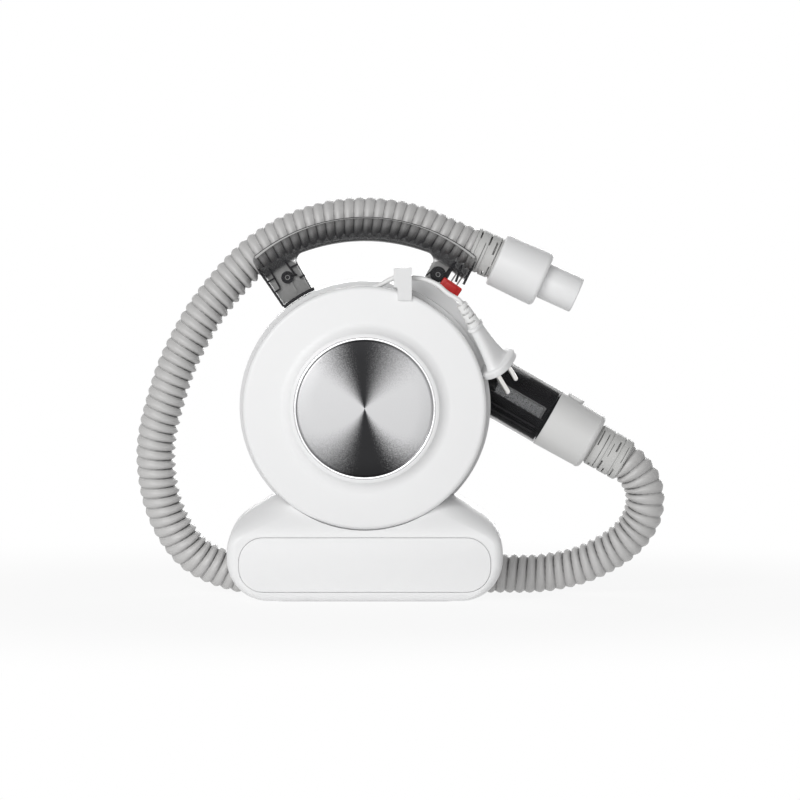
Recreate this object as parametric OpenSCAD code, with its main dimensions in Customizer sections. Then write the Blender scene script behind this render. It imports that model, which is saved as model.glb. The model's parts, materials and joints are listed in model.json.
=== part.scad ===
// Pet dryer: a round blower drum on a wide foot, with a smoked carrying handle that cradles the ribbed hose,
// a mains cord wound behind the front cover and a swivelling hand nozzle.
// +X is the side of the outlet duct, -Y is the front, +Z is up; the origin is under the middle of the foot.

/* [Foot] */
// Width of the foot across its widest part
foot_w = 214; // [200:1:232]
// Radius of the foot's lower corners, seen from the front
foot_low_r = 33; // [27:1:36]
// Radius of the foot's upper corners, seen from the front
foot_high_r = 37.5; // [34.5:0.5:40.5]
// Distance from the foot's front face to the drum's datum plane
foot_front = 47; // [45:1:52]
// Distance from the datum plane to the foot's back
foot_back = 29; // [26:0.5:29]
// Rounding of the foot's front and back edges
foot_edge = 7.5; // [4.5:0.5:7.5]
// Length of the inset front panel
panel_l = 195; // [165:1:196]
// Height of the inset front panel
panel_h = 42; // [30:1:42]
// Thickness of the front panel
panel_t = 2; // [1.5:0.5:2.5]
// Thickness of the rubber sole
sole_t = 1.6; // [1.2:0.1:2.4]
// Thickness of the closing plate under the foot
plate_t = 2.5; // [2:0.5:3]

/* [Drum] */
// Height of the drum's axis above the surface
drum_h = 150; // [149:1:155]
// Radius of the front cover
cover_r = 94.5; // [90:0.5:95]
// Depth of the front cover's rim
cover_t = 9; // [8:0.5:10.5]
// Wall thickness of the front cover
cover_wall = 2.4; // [1.6:0.1:3]
// Height of the raised centre of the front cover above its flat
mound_h = 6; // [4:0.5:7.5]
// Radius of the spun steel disc
disc_r = 53; // [45:0.5:55.5]
// Width of the polished ring round the disc
ring_w = 1.8; // [1.4:0.1:3]
// Width of the groove that the cord is wound in
groove_w = 19.5; // [19:0.5:22.5]
// Radius of the spool under the cord
spool_r = 79.5; // [75:0.5:82]
// Radius of the blower housing
housing_r = 97.5; // [96:0.5:98]
// Depth of the blower housing
housing_d = 64.5; // [63:0.5:69]
// Wall thickness of the blower housing
housing_wall = 2.4; // [2:0.1:3]
// Thickness of the rear cover
rear_t = 2.4; // [1.6:0.1:3]

/* [Blower] */
// Radius of the impeller
fan_r = 56; // [45:1:58]
// Width of the impeller blades
fan_w = 18; // [14:0.5:19.5]
// Number of impeller blades
fan_blades = 11; // [7:1:15]
// Radius of the motor shaft
shaft_r = 3; // [2:0.5:4]
// Radius of the motor's can
motor_r = 25; // [20:1:28]
// Length of the motor's can
motor_l = 22.5; // [18:0.5:24]
// Radius of the air intake in the rear cover
intake_r = 58; // [54:1:60]
// Number of radial bars in the intake grille
grille_bars = 24; // [12:2:36]

/* [Outlet] */
// Outside radius of the smoked outlet duct
duct_r = 23.2; // [21:0.1:23.2]
// Wall thickness of the outlet duct
duct_wall = 1.9; // [1.5:0.1:2.2]
// Slope of the outlet duct below the horizontal, in degrees
duct_slope = 30; // [29:0.5:31]
// Length of the hose collar
collar_l = 40.5; // [36:0.5:45]
// Length that the hose cuff stands out of the collar
cuff_out = 28.5; // [25.5:0.5:28.5]
// Travel of the collar's release button
release_travel = 1.8; // [1.2:0.1:2]

/* [Hose] */
// Radius of the hose over its ribs
hose_r = 15; // [13.5:0.5:15]
// Depth of the hose's ribs
rib_h = 1.8; // [1.2:0.1:2.2]
// Radius of the hose's bore
hose_bore = 11; // [9:0.5:11.5]
// Number of ribs along the hose
hose_ribs = 116; // [80:2:130]
// Wall thickness of the two slotted hose cuffs
cuff_wall = 1.7; // [1.3:0.1:2.2]

/* [Nozzle] */
// Radius of the nozzle's grip at its rear end
grip_r = 20.2; // [19.5:0.1:22.5]
// Radius of the nozzle's grip at its front end
grip_front_r = 21.4; // [20.2:0.1:23.2]
// Length of the nozzle's grip
grip_l = 40.5; // [34.5:0.5:48]
// Outside radius of the nozzle's outlet tube
tip_r = 13.5; // [12:0.5:15]
// Wall thickness of the outlet tube
tip_wall = 1.9; // [1.5:0.1:2.2]
// Length that the outlet tube stands out of the grip
tip_l = 29; // [22:0.5:37]

/* [Handle] */
// Radius of the hose's seat in the handle, to the hose's centre line
seat_r = 137; // [135:0.5:138]
// Thickness of the handle at its middle, from the hose's centre line down
handle_t = 19; // [18:0.5:21]
// Wall thickness of the handle's shells
handle_wall = 2; // [1.6:0.1:2.2]
// Gap between the hose and the walls of its seat
seat_gap = 0.5; // [0.3:0.1:1.2]
// Travel of the red power slider
slider_travel = 6; // [3:0.5:6.5]

/* [Cord] */
// Diameter of the mains cord
cord_d = 3.8; // [3.2:0.1:3.8]
// Number of loops wound on the spool
cord_loops = 3.4; // [2:0.1:3.4]
// Length of the plug's pins
pin_l = 19; // [17:0.5:19]
// Distance between the plug's pins
pin_pitch = 19; // [17:0.5:19]

/* [Hidden] */
$fn = 96;

// Clearances
fit = 0.3;
snug = 0.15;
running = 0.06;
part_line = 0.4;

// Places along Y, from the front to the back
cover_y = -43.5;
groove_y = cover_y + cover_t;
housing_y = groove_y + groove_w;
back_y = housing_y + housing_d;
lobe_y = -4.5;
mound_y = cover_y - mound_h;
duct_y = back_y - 27;
hose_low_y = 45;

// The blower housing's centre and its scroll
housing_z = drum_h;
lobe_x = 7;
lobe_z = housing_z + 7.6;

// The outlet duct's axis: the point where it enters the collar
duct_x = 143.2;
duct_z = drum_h - 10.1;
spigot_l = 19.5;
spigot_r = duct_r - 3;
duct_in = 69;

// Height of the hose's centre where it lies behind the foot
hose_low_z = hose_r + 0.2;

// The handle; its front view is drawn for a seat of radius seat_base and follows the seat's own radius
handle_z = drum_h + 10;
seat_base = 137;
seat_k = seat_r / seat_base;
seat_a0 = 118;
seat_a1 = 63;
grip_arc_r = 141 * seat_k;
function hx(x) = x * seat_k;
function hz(z) = handle_z + (z - 10) * seat_k;

// The nozzle's axis: the middle of its rear face, beyond the end of the seat
nozzle_x = seat_r * cos(seat_a1) + 40.4;
nozzle_z = handle_z + seat_r * sin(seat_a1) - 18.1;
nozzle_slope = 24.5;
cuff_r = hose_r + 0.3;
handle_y0 = duct_y - hose_r - seat_gap - handle_wall;
handle_y1 = duct_y + hose_r + seat_gap + handle_wall;
bosses = [[hx(-60.5), hz(99.7)], [hx(57), hz(102)]];
leg_lean = 34;

// The cord
winding_r = (spool_r + cord_d / 2 + fit) / cos(180 / 24);
winding_pitch = cord_d + 0.6;
winding_y0 = housing_y - cord_d / 2 - 0.2;
leave_angle = 113;
clip_x0 = 22.4;
clip_w = 14;
clip_z = drum_h + 100.5;
clip_y = groove_y + cord_d / 2 + 1.2;

// The plug's axis: the middle of its face
plug_x = 105.2;
plug_y = housing_y - 9;
plug_z = drum_h + 31;
plug_slope = 58.5;
plug_tilt = 17.5;
plug_roll = -57;
plug_l = 41;
relief_l = 20;
plug_dir = [cos(plug_tilt) * cos(plug_slope), sin(plug_tilt), -cos(plug_tilt) * sin(plug_slope)];
pin_r = 2;
screw_r = 1.3;

// Colours
white = [0.93, 0.93, 0.92];
grey = [0.80, 0.80, 0.79];
dark = [0.14, 0.14, 0.15];
smoke = [0.25, 0.25, 0.26, 0.6];
steel = [0.72, 0.72, 0.73];

// ---------------------------------------------------------------- helpers

// Extrudes an X-Z outline from y0 to y1
module along_y(y0, y1) {
    translate([0, y1, 0])
        rotate([90, 0, 0])
            linear_extrude(y1 - y0)
                children();
}

// Turns a radius-Y profile round an axis along Y
module lathe_y(x, z) {
    translate([x, 0, z])
        rotate([-90, 0, 0])
            rotate_extrude()
                children();
}

// A ring or a disc round an axis along Y
module disc_y(x, z, r, y0, y1) {
    translate([x, y0, z])
        rotate([-90, 0, 0])
            cylinder(r = r, h = y1 - y0);
}

// Puts local +Z along the outlet duct, t past the collar's front edge
module on_duct(t = 0) {
    translate([duct_x, duct_y, duct_z])
        rotate([0, 90 + duct_slope, 0])
            translate([0, 0, t])
                children();
}

// Puts local +Z along the nozzle, t past the grip's rear face
module on_nozzle(t = 0) {
    translate([nozzle_x, duct_y, nozzle_z])
        rotate([0, 90 + nozzle_slope, 0])
            translate([0, 0, t])
                children();
}

// Puts local +Z along the plug's pins, from the middle of the plug's face, with local X across the pins
module on_plug() {
    translate([plug_x, plug_y, plug_z])
        rotate([0, 90 + plug_slope, 0])
            rotate([-plug_tilt, 0, 0])
                rotate([0, 0, plug_roll])
                    children();
}

// A flat rounded rectangle, centred
module rounded(w, h, r) {
    square([w - 2 * r, h], center = true);
    square([w, h - 2 * r], center = true);
    for (x = [-1, 1], y = [-1, 1])
        translate([x * (w / 2 - r), y * (h / 2 - r)])
            circle(r);
}

// Points of an arc
function arc(cx, cy, r, a0, a1, n) =
    [for (i = [0 : n]) [cx + r * cos(a0 + (a1 - a0) * i / n), cy + r * sin(a0 + (a1 - a0) * i / n)]];

function unit(v) = v / norm(v);

// ---------------------------------------------------------------- foot

// One corner of the foot: a disc along Y with rounded rims
module foot_disc(x, z, r, y0, y1, e) {
    translate([x, 0, z])
        rotate([-90, 0, 0])
            rotate_extrude($fn = 48)
                polygon(concat(
                    [[0, y0], [r - e, y0]],
                    arc(r - e, y0 + e, e, -75, 0, 4),
                    arc(r - e, y1 - e, e, 0, 75, 4),
                    [[r - e, y1], [0, y1]]
                ));
}

module foot_blank() {
    low_x = foot_w / 2 - foot_low_r;
    high_x = foot_w / 2 - foot_high_r;
    hull() {
        for (s = [-1, 1]) {
            foot_disc(s * low_x, foot_low_r, foot_low_r, -foot_front, foot_back, foot_edge);
            foot_disc(s * high_x, foot_high_r, foot_high_r, -foot_front, foot_back, foot_edge);
            foot_disc(s * 42, 86.8, 9, housing_y - 7.5, foot_back, 4.5);
        }
    }
}

module foot_shell() {
    color(white)
        difference() {
            foot_blank();
            // flat underside that the sole is set on
            translate([-foot_w, -foot_front - 8, -10])
                cube([2 * foot_w, foot_front + foot_back + 16, 10 + sole_t]);
            // cradle behind the front cover, and the blower housing's own seat
            disc_y(0, drum_h, cover_r + 1.5, -foot_front - 8, housing_y - part_line);
            disc_y(0, housing_z, housing_r + snug, housing_y - part_line - 1, foot_back + 15);
            // recess for the front panel
            along_y(-foot_front - 1, -foot_front + panel_t - 0.5)
                translate([0, panel_z()])
                    rounded(panel_l + 2 * part_line, panel_h + 2 * part_line, panel_r() + part_line);
            // inside of the foot, closed from below by the plate
            translate([-inner_w() / 2, plate_y0() + 6, 0])
                cube([inner_w(), plate_y1() - plate_y0() - 12, 32]);
            along_plate(plate_t + sole_t, snug);
            // holes for the plate's screws
            for (p = plate_holes())
                translate([p[0], p[1], 0])
                    cylinder(r = screw_r + 0.05, h = 12);
        }
}

function panel_z() = 7.7 + panel_h / 2;
function panel_r() = min(18.8, panel_h / 2 - 1);
function inner_w() = foot_w - 2 * foot_low_r - 4;
function plate_w() = inner_w() + 12;
function plate_y0() = -foot_front + foot_edge;
function plate_y1() = foot_back - foot_edge;
function plate_holes() = [for (x = [-1, 1], y = [plate_y0() + 3, plate_y1() - 3]) [x * (plate_w() / 2 - 3), y]];

// The closing plate's outline, raised to the given height
module along_plate(h, grow) {
    translate([0, (plate_y0() + plate_y1()) / 2, 0])
        linear_extrude(h)
            rounded(plate_w() + 2 * grow, plate_y1() - plate_y0() + 2 * grow, 4);
}

module foot_plate() {
    color(grey)
        difference() {
            along_plate(sole_t + plate_t - fit, 0);
            translate([-foot_w, -foot_front, -1])
                cube([2 * foot_w, foot_front + foot_back, 1 + sole_t]);
            for (p = plate_holes())
                translate([p[0], p[1], 0])
                    cylinder(r = screw_r + fit, h = 12);
        }
}

// Rubber sole: a wide pad with rounded corners under the plate
module foot_sole() {
    color(dark)
        translate([0, (plate_y0() + plate_y1()) / 2, 0])
            linear_extrude(sole_t)
                rounded(plate_w() - 14, plate_y1() - plate_y0() - 2, 9);
}

module foot_panel() {
    color(white)
        along_y(-foot_front - 0.5, -foot_front + panel_t - 0.5 - snug)
            translate([0, panel_z()])
                rounded(panel_l, panel_h, panel_r());
}

module plate_screws() {
    color(steel)
        for (p = plate_holes())
            translate([p[0], p[1], sole_t - 1.4]) {
                cylinder(r = 2.2, h = 1.4 - 0.05);
                cylinder(r = screw_r, h = 9);
            }
}

// Power board: a plate with its capacitor, transformer and terminals
module control_board() {
    board_z = sole_t + plate_t + 4.5;
    color([0.2, 0.42, 0.25]) {
        translate([-37.5, -30, board_z])
            cube([67.5, 37.5, 1.6]);
        for (x = [-33, 25.5], y = [-26.2, 3])
            translate([x, y, sole_t + plate_t - fit])
                cylinder(r = 1.9, h = 4.5 + fit + 0.1);
        translate([-22.5, -21, board_z + 1.5])
            cube([19.5, 18, 12]);
        translate([7.5, -15, board_z + 1.5])
            cylinder(r = 5.2, h = 15);
        translate([18, -22.5, board_z + 1.5])
            cube([7.5, 25.5, 6.8]);
    }
}

// ---------------------------------------------------------------- drum

// Outline of the scroll that the blower housing adds on the outlet's side, grown by g
module scroll_outline(g = 0) {
    intersection() {
        translate([lobe_x, lobe_z])
            circle(housing_r + g);
        polygon([
            [-15 - g, lobe_z - 15], [21 - g, housing_z + housing_r - 6 + g], [33 - g, housing_z + housing_r + 15],
            [housing_r + 30, housing_z + housing_r + 15], [housing_r + 30, lobe_z - 15]
        ]);
    }
}

module housing_outline(g = 0) {
    translate([0, housing_z])
        circle(housing_r + g);
}

module duct_bore(r) {
    on_duct(-duct_in - 22.5)
        cylinder(r = r, h = duct_in + 22.5);
}

module rear_housing() {
    color(white)
        difference() {
            union() {
                along_y(housing_y, back_y)
                    housing_outline();
                along_y(lobe_y, back_y)
                    scroll_outline();
            }
            along_y(housing_y + housing_wall, back_y + 1)
                housing_outline(-housing_wall);
            along_y(lobe_y + housing_wall, back_y + 1)
                scroll_outline(-housing_wall);
            duct_bore(duct_r + snug);
            // cooling and wiring hole to the spool
            disc_y(0, drum_h, 9, housing_y - 1, housing_y + housing_wall + 1);
        }
}

// The spool: a ring that the cord is wound on, with a web that joins cover and housing
module cord_spool() {
    color(white)
        lathe_y(0, drum_h)
            polygon([
                [spool_r - 3, groove_y + fit], [spool_r, groove_y + fit],
                [spool_r, housing_y - snug], [15, housing_y - snug], [15, housing_y - 3],
                [spool_r - 3, housing_y - 3]
            ]);
}

module front_cover() {
    seat = disc_r + ring_w + snug;
    flare = 10.5;
    color(white)
        lathe_y(0, drum_h)
            polygon(concat(
                [[cover_r, groove_y]],
                arc(cover_r - 3, cover_y + 3, 3, 0, -90, 6),
                arc(seat + 1.5 + flare, cover_y - flare, flare, 90, 90 + acos((flare - mound_h) / flare), 6),
                [[seat, mound_y], [seat, mound_y + 3.8], [0, mound_y + 3.8], [0, mound_y + 3.8 + cover_wall]],
                [[seat + 6, mound_y + 3.8 + cover_wall], [seat + 9, cover_y + cover_wall]],
                [[cover_r - cover_wall, cover_y + cover_wall], [cover_r - cover_wall, groove_y]]
            ));
    color(white)
        difference() {
            disc_y(0, drum_h, spool_r - 3.8, cover_y + cover_wall - 1, groove_y);
            disc_y(0, drum_h, spool_r - 6.8, cover_y - 1, groove_y + 1);
        }
}

module steel_disc() {
    color(steel)
        lathe_y(0, drum_h)
            polygon([
                [0, mound_y + 0.2], [disc_r - 1, mound_y + 0.6], [disc_r - snug, mound_y + 1.2],
                [disc_r - snug, mound_y + 3.8 - snug], [0, mound_y + 3.8 - snug]
            ]);
}

module disc_ring() {
    color([0.86, 0.86, 0.87])
        lathe_y(0, drum_h)
            polygon(concat(
                [[disc_r, mound_y + 3.8 - snug]],
                arc(disc_r + ring_w / 2, mound_y, ring_w / 2, 180, 360, 8),
                [[disc_r + ring_w, mound_y + 3.8 - snug]]
            ));
}

// ---------------------------------------------------------------- blower

motor_y = housing_y + housing_wall + 1.5;
fan_y = motor_y + motor_l + 4.5;
inlet_y = fan_y + fan_w + 3;

// Rubber ring between the motor and the housing's front wall
module motor_mount() {
    color(dark)
        difference() {
            disc_y(0, drum_h, motor_r + 2.2, housing_y + housing_wall + 0.05, motor_y + 6);
            disc_y(0, drum_h, motor_r + 0.05, motor_y, motor_y + 6.8);
            disc_y(0, drum_h, 10.5, housing_y, motor_y + 6.8);
        }
}

module motor() {
    color(steel)
        difference() {
            union() {
                disc_y(0, drum_h, motor_r, motor_y + 0.1, motor_y + motor_l);
                disc_y(0, drum_h, 7.5, motor_y + motor_l - 1, motor_y + motor_l + 2.2);
            }
            disc_y(0, drum_h, shaft_r + running, motor_y + 4.5, motor_y + motor_l + 3);
            for (a = [0 : 45 : 315])
                translate([0, 0, drum_h])
                    rotate([0, a, 0])
                        translate([motor_r - 6.8, motor_y + motor_l - 2.2, 0])
                            rotate([-90, 0, 0])
                                cylinder(r = 2.2, h = 3.8);
        }
}

// One backward-curved blade between the impeller's back plate and its shroud
module fan_blade(a) {
    bend_r = 34.5;
    translate([0, 0, drum_h])
        rotate([0, a, 0])
            translate([fan_r - bend_r * 0.5, fan_y + 1, bend_r * 0.86])
                rotate([-90, 0, 0])
                    rotate([0, 0, 62])
                        rotate_extrude(angle = 44)
                            translate([bend_r - 0.8, 0])
                                square([1.6, fan_w - 1.5]);
}

module impeller() {
    color(dark) {
        difference() {
            union() {
                disc_y(0, drum_h, fan_r, fan_y, fan_y + 1.5);
                disc_y(0, drum_h, 9, fan_y, fan_y + 12);
            }
            disc_y(0, drum_h, shaft_r, fan_y - 1, fan_y + 12.8);
        }
        difference() {
            disc_y(0, drum_h, fan_r, fan_y + fan_w - 1.5, fan_y + fan_w);
            disc_y(0, drum_h, fan_r - 22.5, fan_y + fan_w - 2.2, fan_y + fan_w + 1);
        }
        intersection() {
            for (i = [0 : fan_blades - 1])
                fan_blade(i * 360 / fan_blades);
            disc_y(0, drum_h, fan_r, fan_y, fan_y + fan_w);
        }
    }
}

module motor_shaft() {
    color(steel)
        disc_y(0, drum_h, shaft_r, motor_y + 6, fan_y + 13.5);
}

// Plate between the intake and the scroll, with the impeller's eye
module inlet_plate() {
    color(grey)
        difference() {
            union() {
                along_y(inlet_y, inlet_y + 1.9)
                    housing_outline(-housing_wall - snug);
                along_y(inlet_y, inlet_y + 1.9)
                    scroll_outline(-housing_wall - snug);
            }
            disc_y(0, drum_h, fan_r - 20.2, inlet_y - 1, inlet_y + 3);
            duct_bore(duct_r + fit);
        }
}

module air_filter() {
    color([0.3, 0.3, 0.31])
        disc_y(0, drum_h, intake_r - 4.5, back_y - 6, back_y + rear_t - 3.9);
}

module rear_cover() {
    lug_arc = 26;
    color(white)
        difference() {
            union() {
                along_y(back_y + 0.1, back_y + rear_t)
                    housing_outline();
                along_y(back_y + 0.1, back_y + rear_t)
                    scroll_outline();
            }
            disc_y(0, drum_h, intake_r + fit, back_y - 1, back_y + rear_t + 1);
            // notches that the grille's lugs pass through
            for (a = [0 : 120 : 240])
                translate([0, back_y - 1, drum_h])
                    rotate([-90, 0, 0])
                        rotate([0, 0, a - lug_arc / 2])
                            rotate_extrude(angle = lug_arc)
                                translate([intake_r - 1.5, 0])
                                    square([4.9, rear_t + 1.5]);
            for (p = rear_holes())
                disc_y(p[0], p[1], 1.7, back_y - 1, back_y + rear_t + 1);
        }
}

function rear_holes() = [for (a = [45, 135, 225, 315]) [88 * cos(a), housing_z + 88 * sin(a)]];

module rear_cover_screws() {
    color(steel)
        for (p = rear_holes()) {
            disc_y(p[0], p[1], 1.5, back_y - 6, back_y + rear_t + 0.5);
            disc_y(p[0], p[1], 2.2, back_y + rear_t + 0.05, back_y + rear_t + 1.6);
        }
}

// Intake grille: rim, hub and radial bars, held by three lugs behind the rear cover
module intake_grille() {
    lug_turn = 25;
    color(grey) {
        difference() {
            disc_y(0, drum_h, intake_r, back_y - 3.8, back_y + rear_t + 1.5);
            disc_y(0, drum_h, intake_r - 3.8, back_y - 4.5, back_y + rear_t + 2.2);
        }
        difference() {
            disc_y(0, drum_h, 34.5, back_y + rear_t - 1, back_y + rear_t + 1.5);
            disc_y(0, drum_h, 32.2, back_y + rear_t - 1.5, back_y + rear_t + 2.2);
        }
        disc_y(0, drum_h, 10.5, back_y + rear_t - 1, back_y + rear_t + 1.5);
        for (i = [0 : grille_bars - 1])
            translate([0, back_y + rear_t - 1, drum_h])
                rotate([0, i * 360 / grille_bars, 0])
                    translate([9, 0.3, -0.8])
                        cube([intake_r - 11, 1.8, 1.6]);
        for (a = [0 : 120 : 240])
            translate([0, back_y - 3.4, drum_h])
                rotate([-90, 0, 0])
                    rotate([0, 0, a - 10 + lug_turn])
                        rotate_extrude(angle = 20)
                            translate([intake_r - 1.5, 0])
                                square([4.1, 3]);
    }
}

// ---------------------------------------------------------------- outlet

module outlet_duct() {
    color(smoke)
        difference() {
            union() {
                on_duct(-duct_in)
                    cylinder(r = duct_r, h = duct_in - 0.1);
                on_duct(-1)
                    cylinder(r = spigot_r, h = spigot_l + 1);
            }
            on_duct(-duct_in - 1)
                cylinder(r = duct_r - duct_wall, h = duct_in - 2.2);
            on_duct(-duct_in)
                cylinder(r = spigot_r - duct_wall, h = duct_in + spigot_l + 1);
        }
}

// Carrier of the heater: two blocks with stepped edges, above and below the heating fins
module heater_frame() {
    inner = duct_r - duct_wall - fit;
    color(dark)
        on_duct(-48)
            difference() {
                intersection() {
                    cylinder(r = inner, h = 43.5);
                    union() {
                        translate([-inner + 5.2, -11.2, 10.5])
                            cube([inner - 9, 22.5, 33]);
                        translate([-inner + 8.2, -11.2, 3])
                            cube([inner - 12, 22.5, 9]);
                        translate([3.8, -15, 0])
                            cube([inner, 30, 43.5]);
                    }
                }
                translate([0, -6, -1])
                    cylinder(r = 2.2, h = 45);
                translate([inner / 2 + 3, 0, -1])
                    cylinder(r = 3.8, h = 45);
            }
}

module heater_fins() {
    color([0.62, 0.62, 0.62])
        on_duct(-46.5) {
            translate([-3.7, -2.2, 0])
                cube([7.4, 4.5, 40.5]);
            for (i = [0 : 8])
                translate([-3.7, -12.8, 2.2 + i * 4.5])
                    cube([7.4, 25.5, 1.6]);
        }
}

collar_r = duct_r + 0.2;

module hose_collar() {
    color(grey)
        difference() {
            on_duct()
                rotate_extrude()
                    polygon(concat(
                        [[spigot_r + snug, 0], [collar_r, 0], [collar_r - 0.8, collar_l - 4.5]],
                        arc(collar_r - 4.3, collar_l - 3.8, 3.8, 0, 90, 5),
                        [[cuff_r + cuff_wall + snug, collar_l], [cuff_r + cuff_wall + snug, spigot_l + 3]],
                        [[spigot_r - duct_wall, spigot_l + 3], [spigot_r - duct_wall, spigot_l + snug]],
                        [[spigot_r + snug, spigot_l + snug]]
                    ));
            // seat of the release button, on the upper side
            on_duct(12)
                rotate([0, -90, 0])
                    linear_extrude(collar_r + 3.8)
                        rounded(13.5 + 2 * fit, 8.2 + 2 * fit, 4.1);
        }
}

module release_button() {
    color(grey)
        intersection() {
            on_duct(12)
                rotate([0, -90, 0])
                    translate([0, 0, spigot_r + release_travel + 0.4])
                        linear_extrude(collar_r - spigot_r + 1.7 - release_travel)
                            rounded(13.5, 8.2, 4.1);
            on_duct(-7.5)
                cylinder(r = collar_r + 1.7, h = 45);
        }
}

// Slotted flexible cuff along +Z, from z0 to z1, with staggered slots
module slotted_cuff(z0, z1, rows, slot_z0) {
    step = (z1 - slot_z0) / rows;
    difference() {
        translate([0, 0, z0])
            cylinder(r = cuff_r + cuff_wall, h = z1 - z0);
        translate([0, 0, z0 - 1])
            cylinder(r = cuff_r, h = z1 - z0 + 1.5);
        for (i = [0 : rows - 1], s = [0, 180])
            translate([0, 0, slot_z0 + i * step + step * 0.35])
                rotate([0, 0, s + i * 90 + 15])
                    rotate_extrude(angle = 130)
                        translate([cuff_r - 1, 0])
                            square([cuff_wall + 1.5, step * 0.32]);
    }
}

module outlet_cuff() {
    color(grey)
        on_duct()
            slotted_cuff(spigot_l + 3.1, collar_l + cuff_out, 4, collar_l + 1);
}

// ---------------------------------------------------------------- hose

// The hose's own points, from the outlet cuff down the right, behind the foot, up the left and over the handle
function duct_point(t) = [duct_x + t * cos(duct_slope), duct_y, duct_z - t * sin(duct_slope)];
function nozzle_point(t) = [nozzle_x + t * cos(nozzle_slope), duct_y, nozzle_z - t * sin(nozzle_slope)];

hose_t0 = spigot_l + 3.8;
hose_nozzle_t = 4.5;

// A height on the hose's side runs, which stretch with the drum's height above the low run
function side_z(z) = z > 150 ? drum_h + z - 150 : hose_low_z + (z - 15.2) * (drum_h - hose_low_z) / 134.8;

// A point of the right side's run, which stays with the outlet duct
function right_point(x, y, z) = [duct_x + x - 143.2, y, side_z(z)];

// A point before the seat's left end
function seat_point(x, z) = [seat_r * cos(seat_a0) + x, duct_y, handle_z + seat_r * sin(seat_a0) + z];

hose_points = concat(
    [duct_point(hose_t0), duct_point(hose_t0 + 15), duct_point(hose_t0 + 31.5), duct_point(hose_t0 + 46.5)],
    [
        right_point(212.5, 24, 96), right_point(218, 26, 86), right_point(219.6, 28, 73.5),
        right_point(217.5, 31, 62), right_point(212, 34, 51.5), right_point(203.5, 36, 42),
        right_point(193.5, 38.5, 34.5), right_point(179, 41, 26.5), right_point(164.5, 43, 21),
        right_point(146.5, 44.5, 17), right_point(129.5, hose_low_y, 15.5),
        [109, hose_low_y, hose_low_z], [70, hose_low_y, hose_low_z], [35, hose_low_y, hose_low_z],
        [0, hose_low_y, hose_low_z], [-35, hose_low_y, hose_low_z], [-70, hose_low_y, hose_low_z],
        [-100, 44.5, hose_low_z + 1], [-130.5, 41.5, side_z(28.5)], [-147.8, 38.5, side_z(48)],
        [-158.2, 35, side_z(72.5)], [-162.8, 31.5, side_z(99.5)], [-162, 28, side_z(125)],
        [-154.5, 24.5, side_z(155.5)], [-144.8, 23, side_z(184)],
        seat_point(-63.9, -64), seat_point(-44.5, -38.2), seat_point(-22.2, -15)
    ],
    [
        for (a = [seat_a0, 109, 100, 90, 80, 71, seat_a1])
            [seat_r * cos(a), duct_y, handle_z + seat_r * sin(a)]
    ],
    [nozzle_point(-30), nozzle_point(-15), nozzle_point(hose_nozzle_t - 2.2), nozzle_point(hose_nozzle_t)]
);

// Catmull-Rom curve through the points, in steps of a tenth
function spline_at(p, i, u) =
    let (
        a = p[max(i - 1, 0)],
        b = p[i],
        c = p[i + 1],
        d = p[min(i + 2, len(p) - 1)]
    )
    0.5 * (2 * b + (c - a) * u + (2 * a - 5 * b + 4 * c - d) * u * u + (3 * b - a - 3 * c + d) * u * u * u);

function smooth_path(p) = concat(
    [for (i = [0 : len(p) - 2], k = [0 : 9]) spline_at(p, i, k / 10)],
    [p[len(p) - 1]]
);

// Running length at each point of a path
function run_length(p) = [for (i = 0, s = 0; i < len(p); i = i + 1, s = s + (i < len(p) ? norm(p[i] - p[i - 1]) : 0)) s];

// The point at length s along a path with running lengths r
function point_at(p, r, s) =
    [for (k = [0 : 2]) lookup(s, [for (i = [0 : len(p) - 1]) [r[i], p[i][k]]])];

// n + 1 evenly spaced points along a path
function spaced(p, n) =
    let (r = run_length(p), total = r[len(r) - 1])
    [for (i = [0 : n]) point_at(p, r, total * i / n)];

function tangent(p, i) = unit(p[min(i + 1, len(p) - 1)] - p[max(i - 1, 0)]);

// A ring of the given radius round point i of a path, starting on the side given by up
function ring_points(p, i, r, sides, up) =
    let (t = tangent(p, i), n = unit(cross(up, t)), b = cross(t, n))
    [for (k = [0 : sides - 1]) p[i] + r * (cos(360 * k / sides) * n + sin(360 * k / sides) * b)];

// Two triangles for each side of the band between rings a and b
function band(a, b, sides) = [
    for (k = [0 : sides - 1])
        let (m = (k + 1) % sides)
        each [[a + k, b + k, b + m], [a + k, b + m, a + m]]
];

// A closed solid tube along a path
module solid_tube(p, r, sides, up) {
    n = len(p);
    points = [for (i = [0 : n - 1]) each ring_points(p, i, r, sides, up)];
    sides_faces = [for (i = [0 : n - 2]) each band(i * sides, (i + 1) * sides, sides)];
    cap_a = [for (k = [1 : sides - 2]) [0, k, k + 1]];
    cap_b = [for (k = [1 : sides - 2]) [(n - 1) * sides, (n - 1) * sides + k + 1, (n - 1) * sides + k]];
    polyhedron(points = points, faces = concat(sides_faces, cap_a, cap_b), convexity = 10);
}

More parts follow.
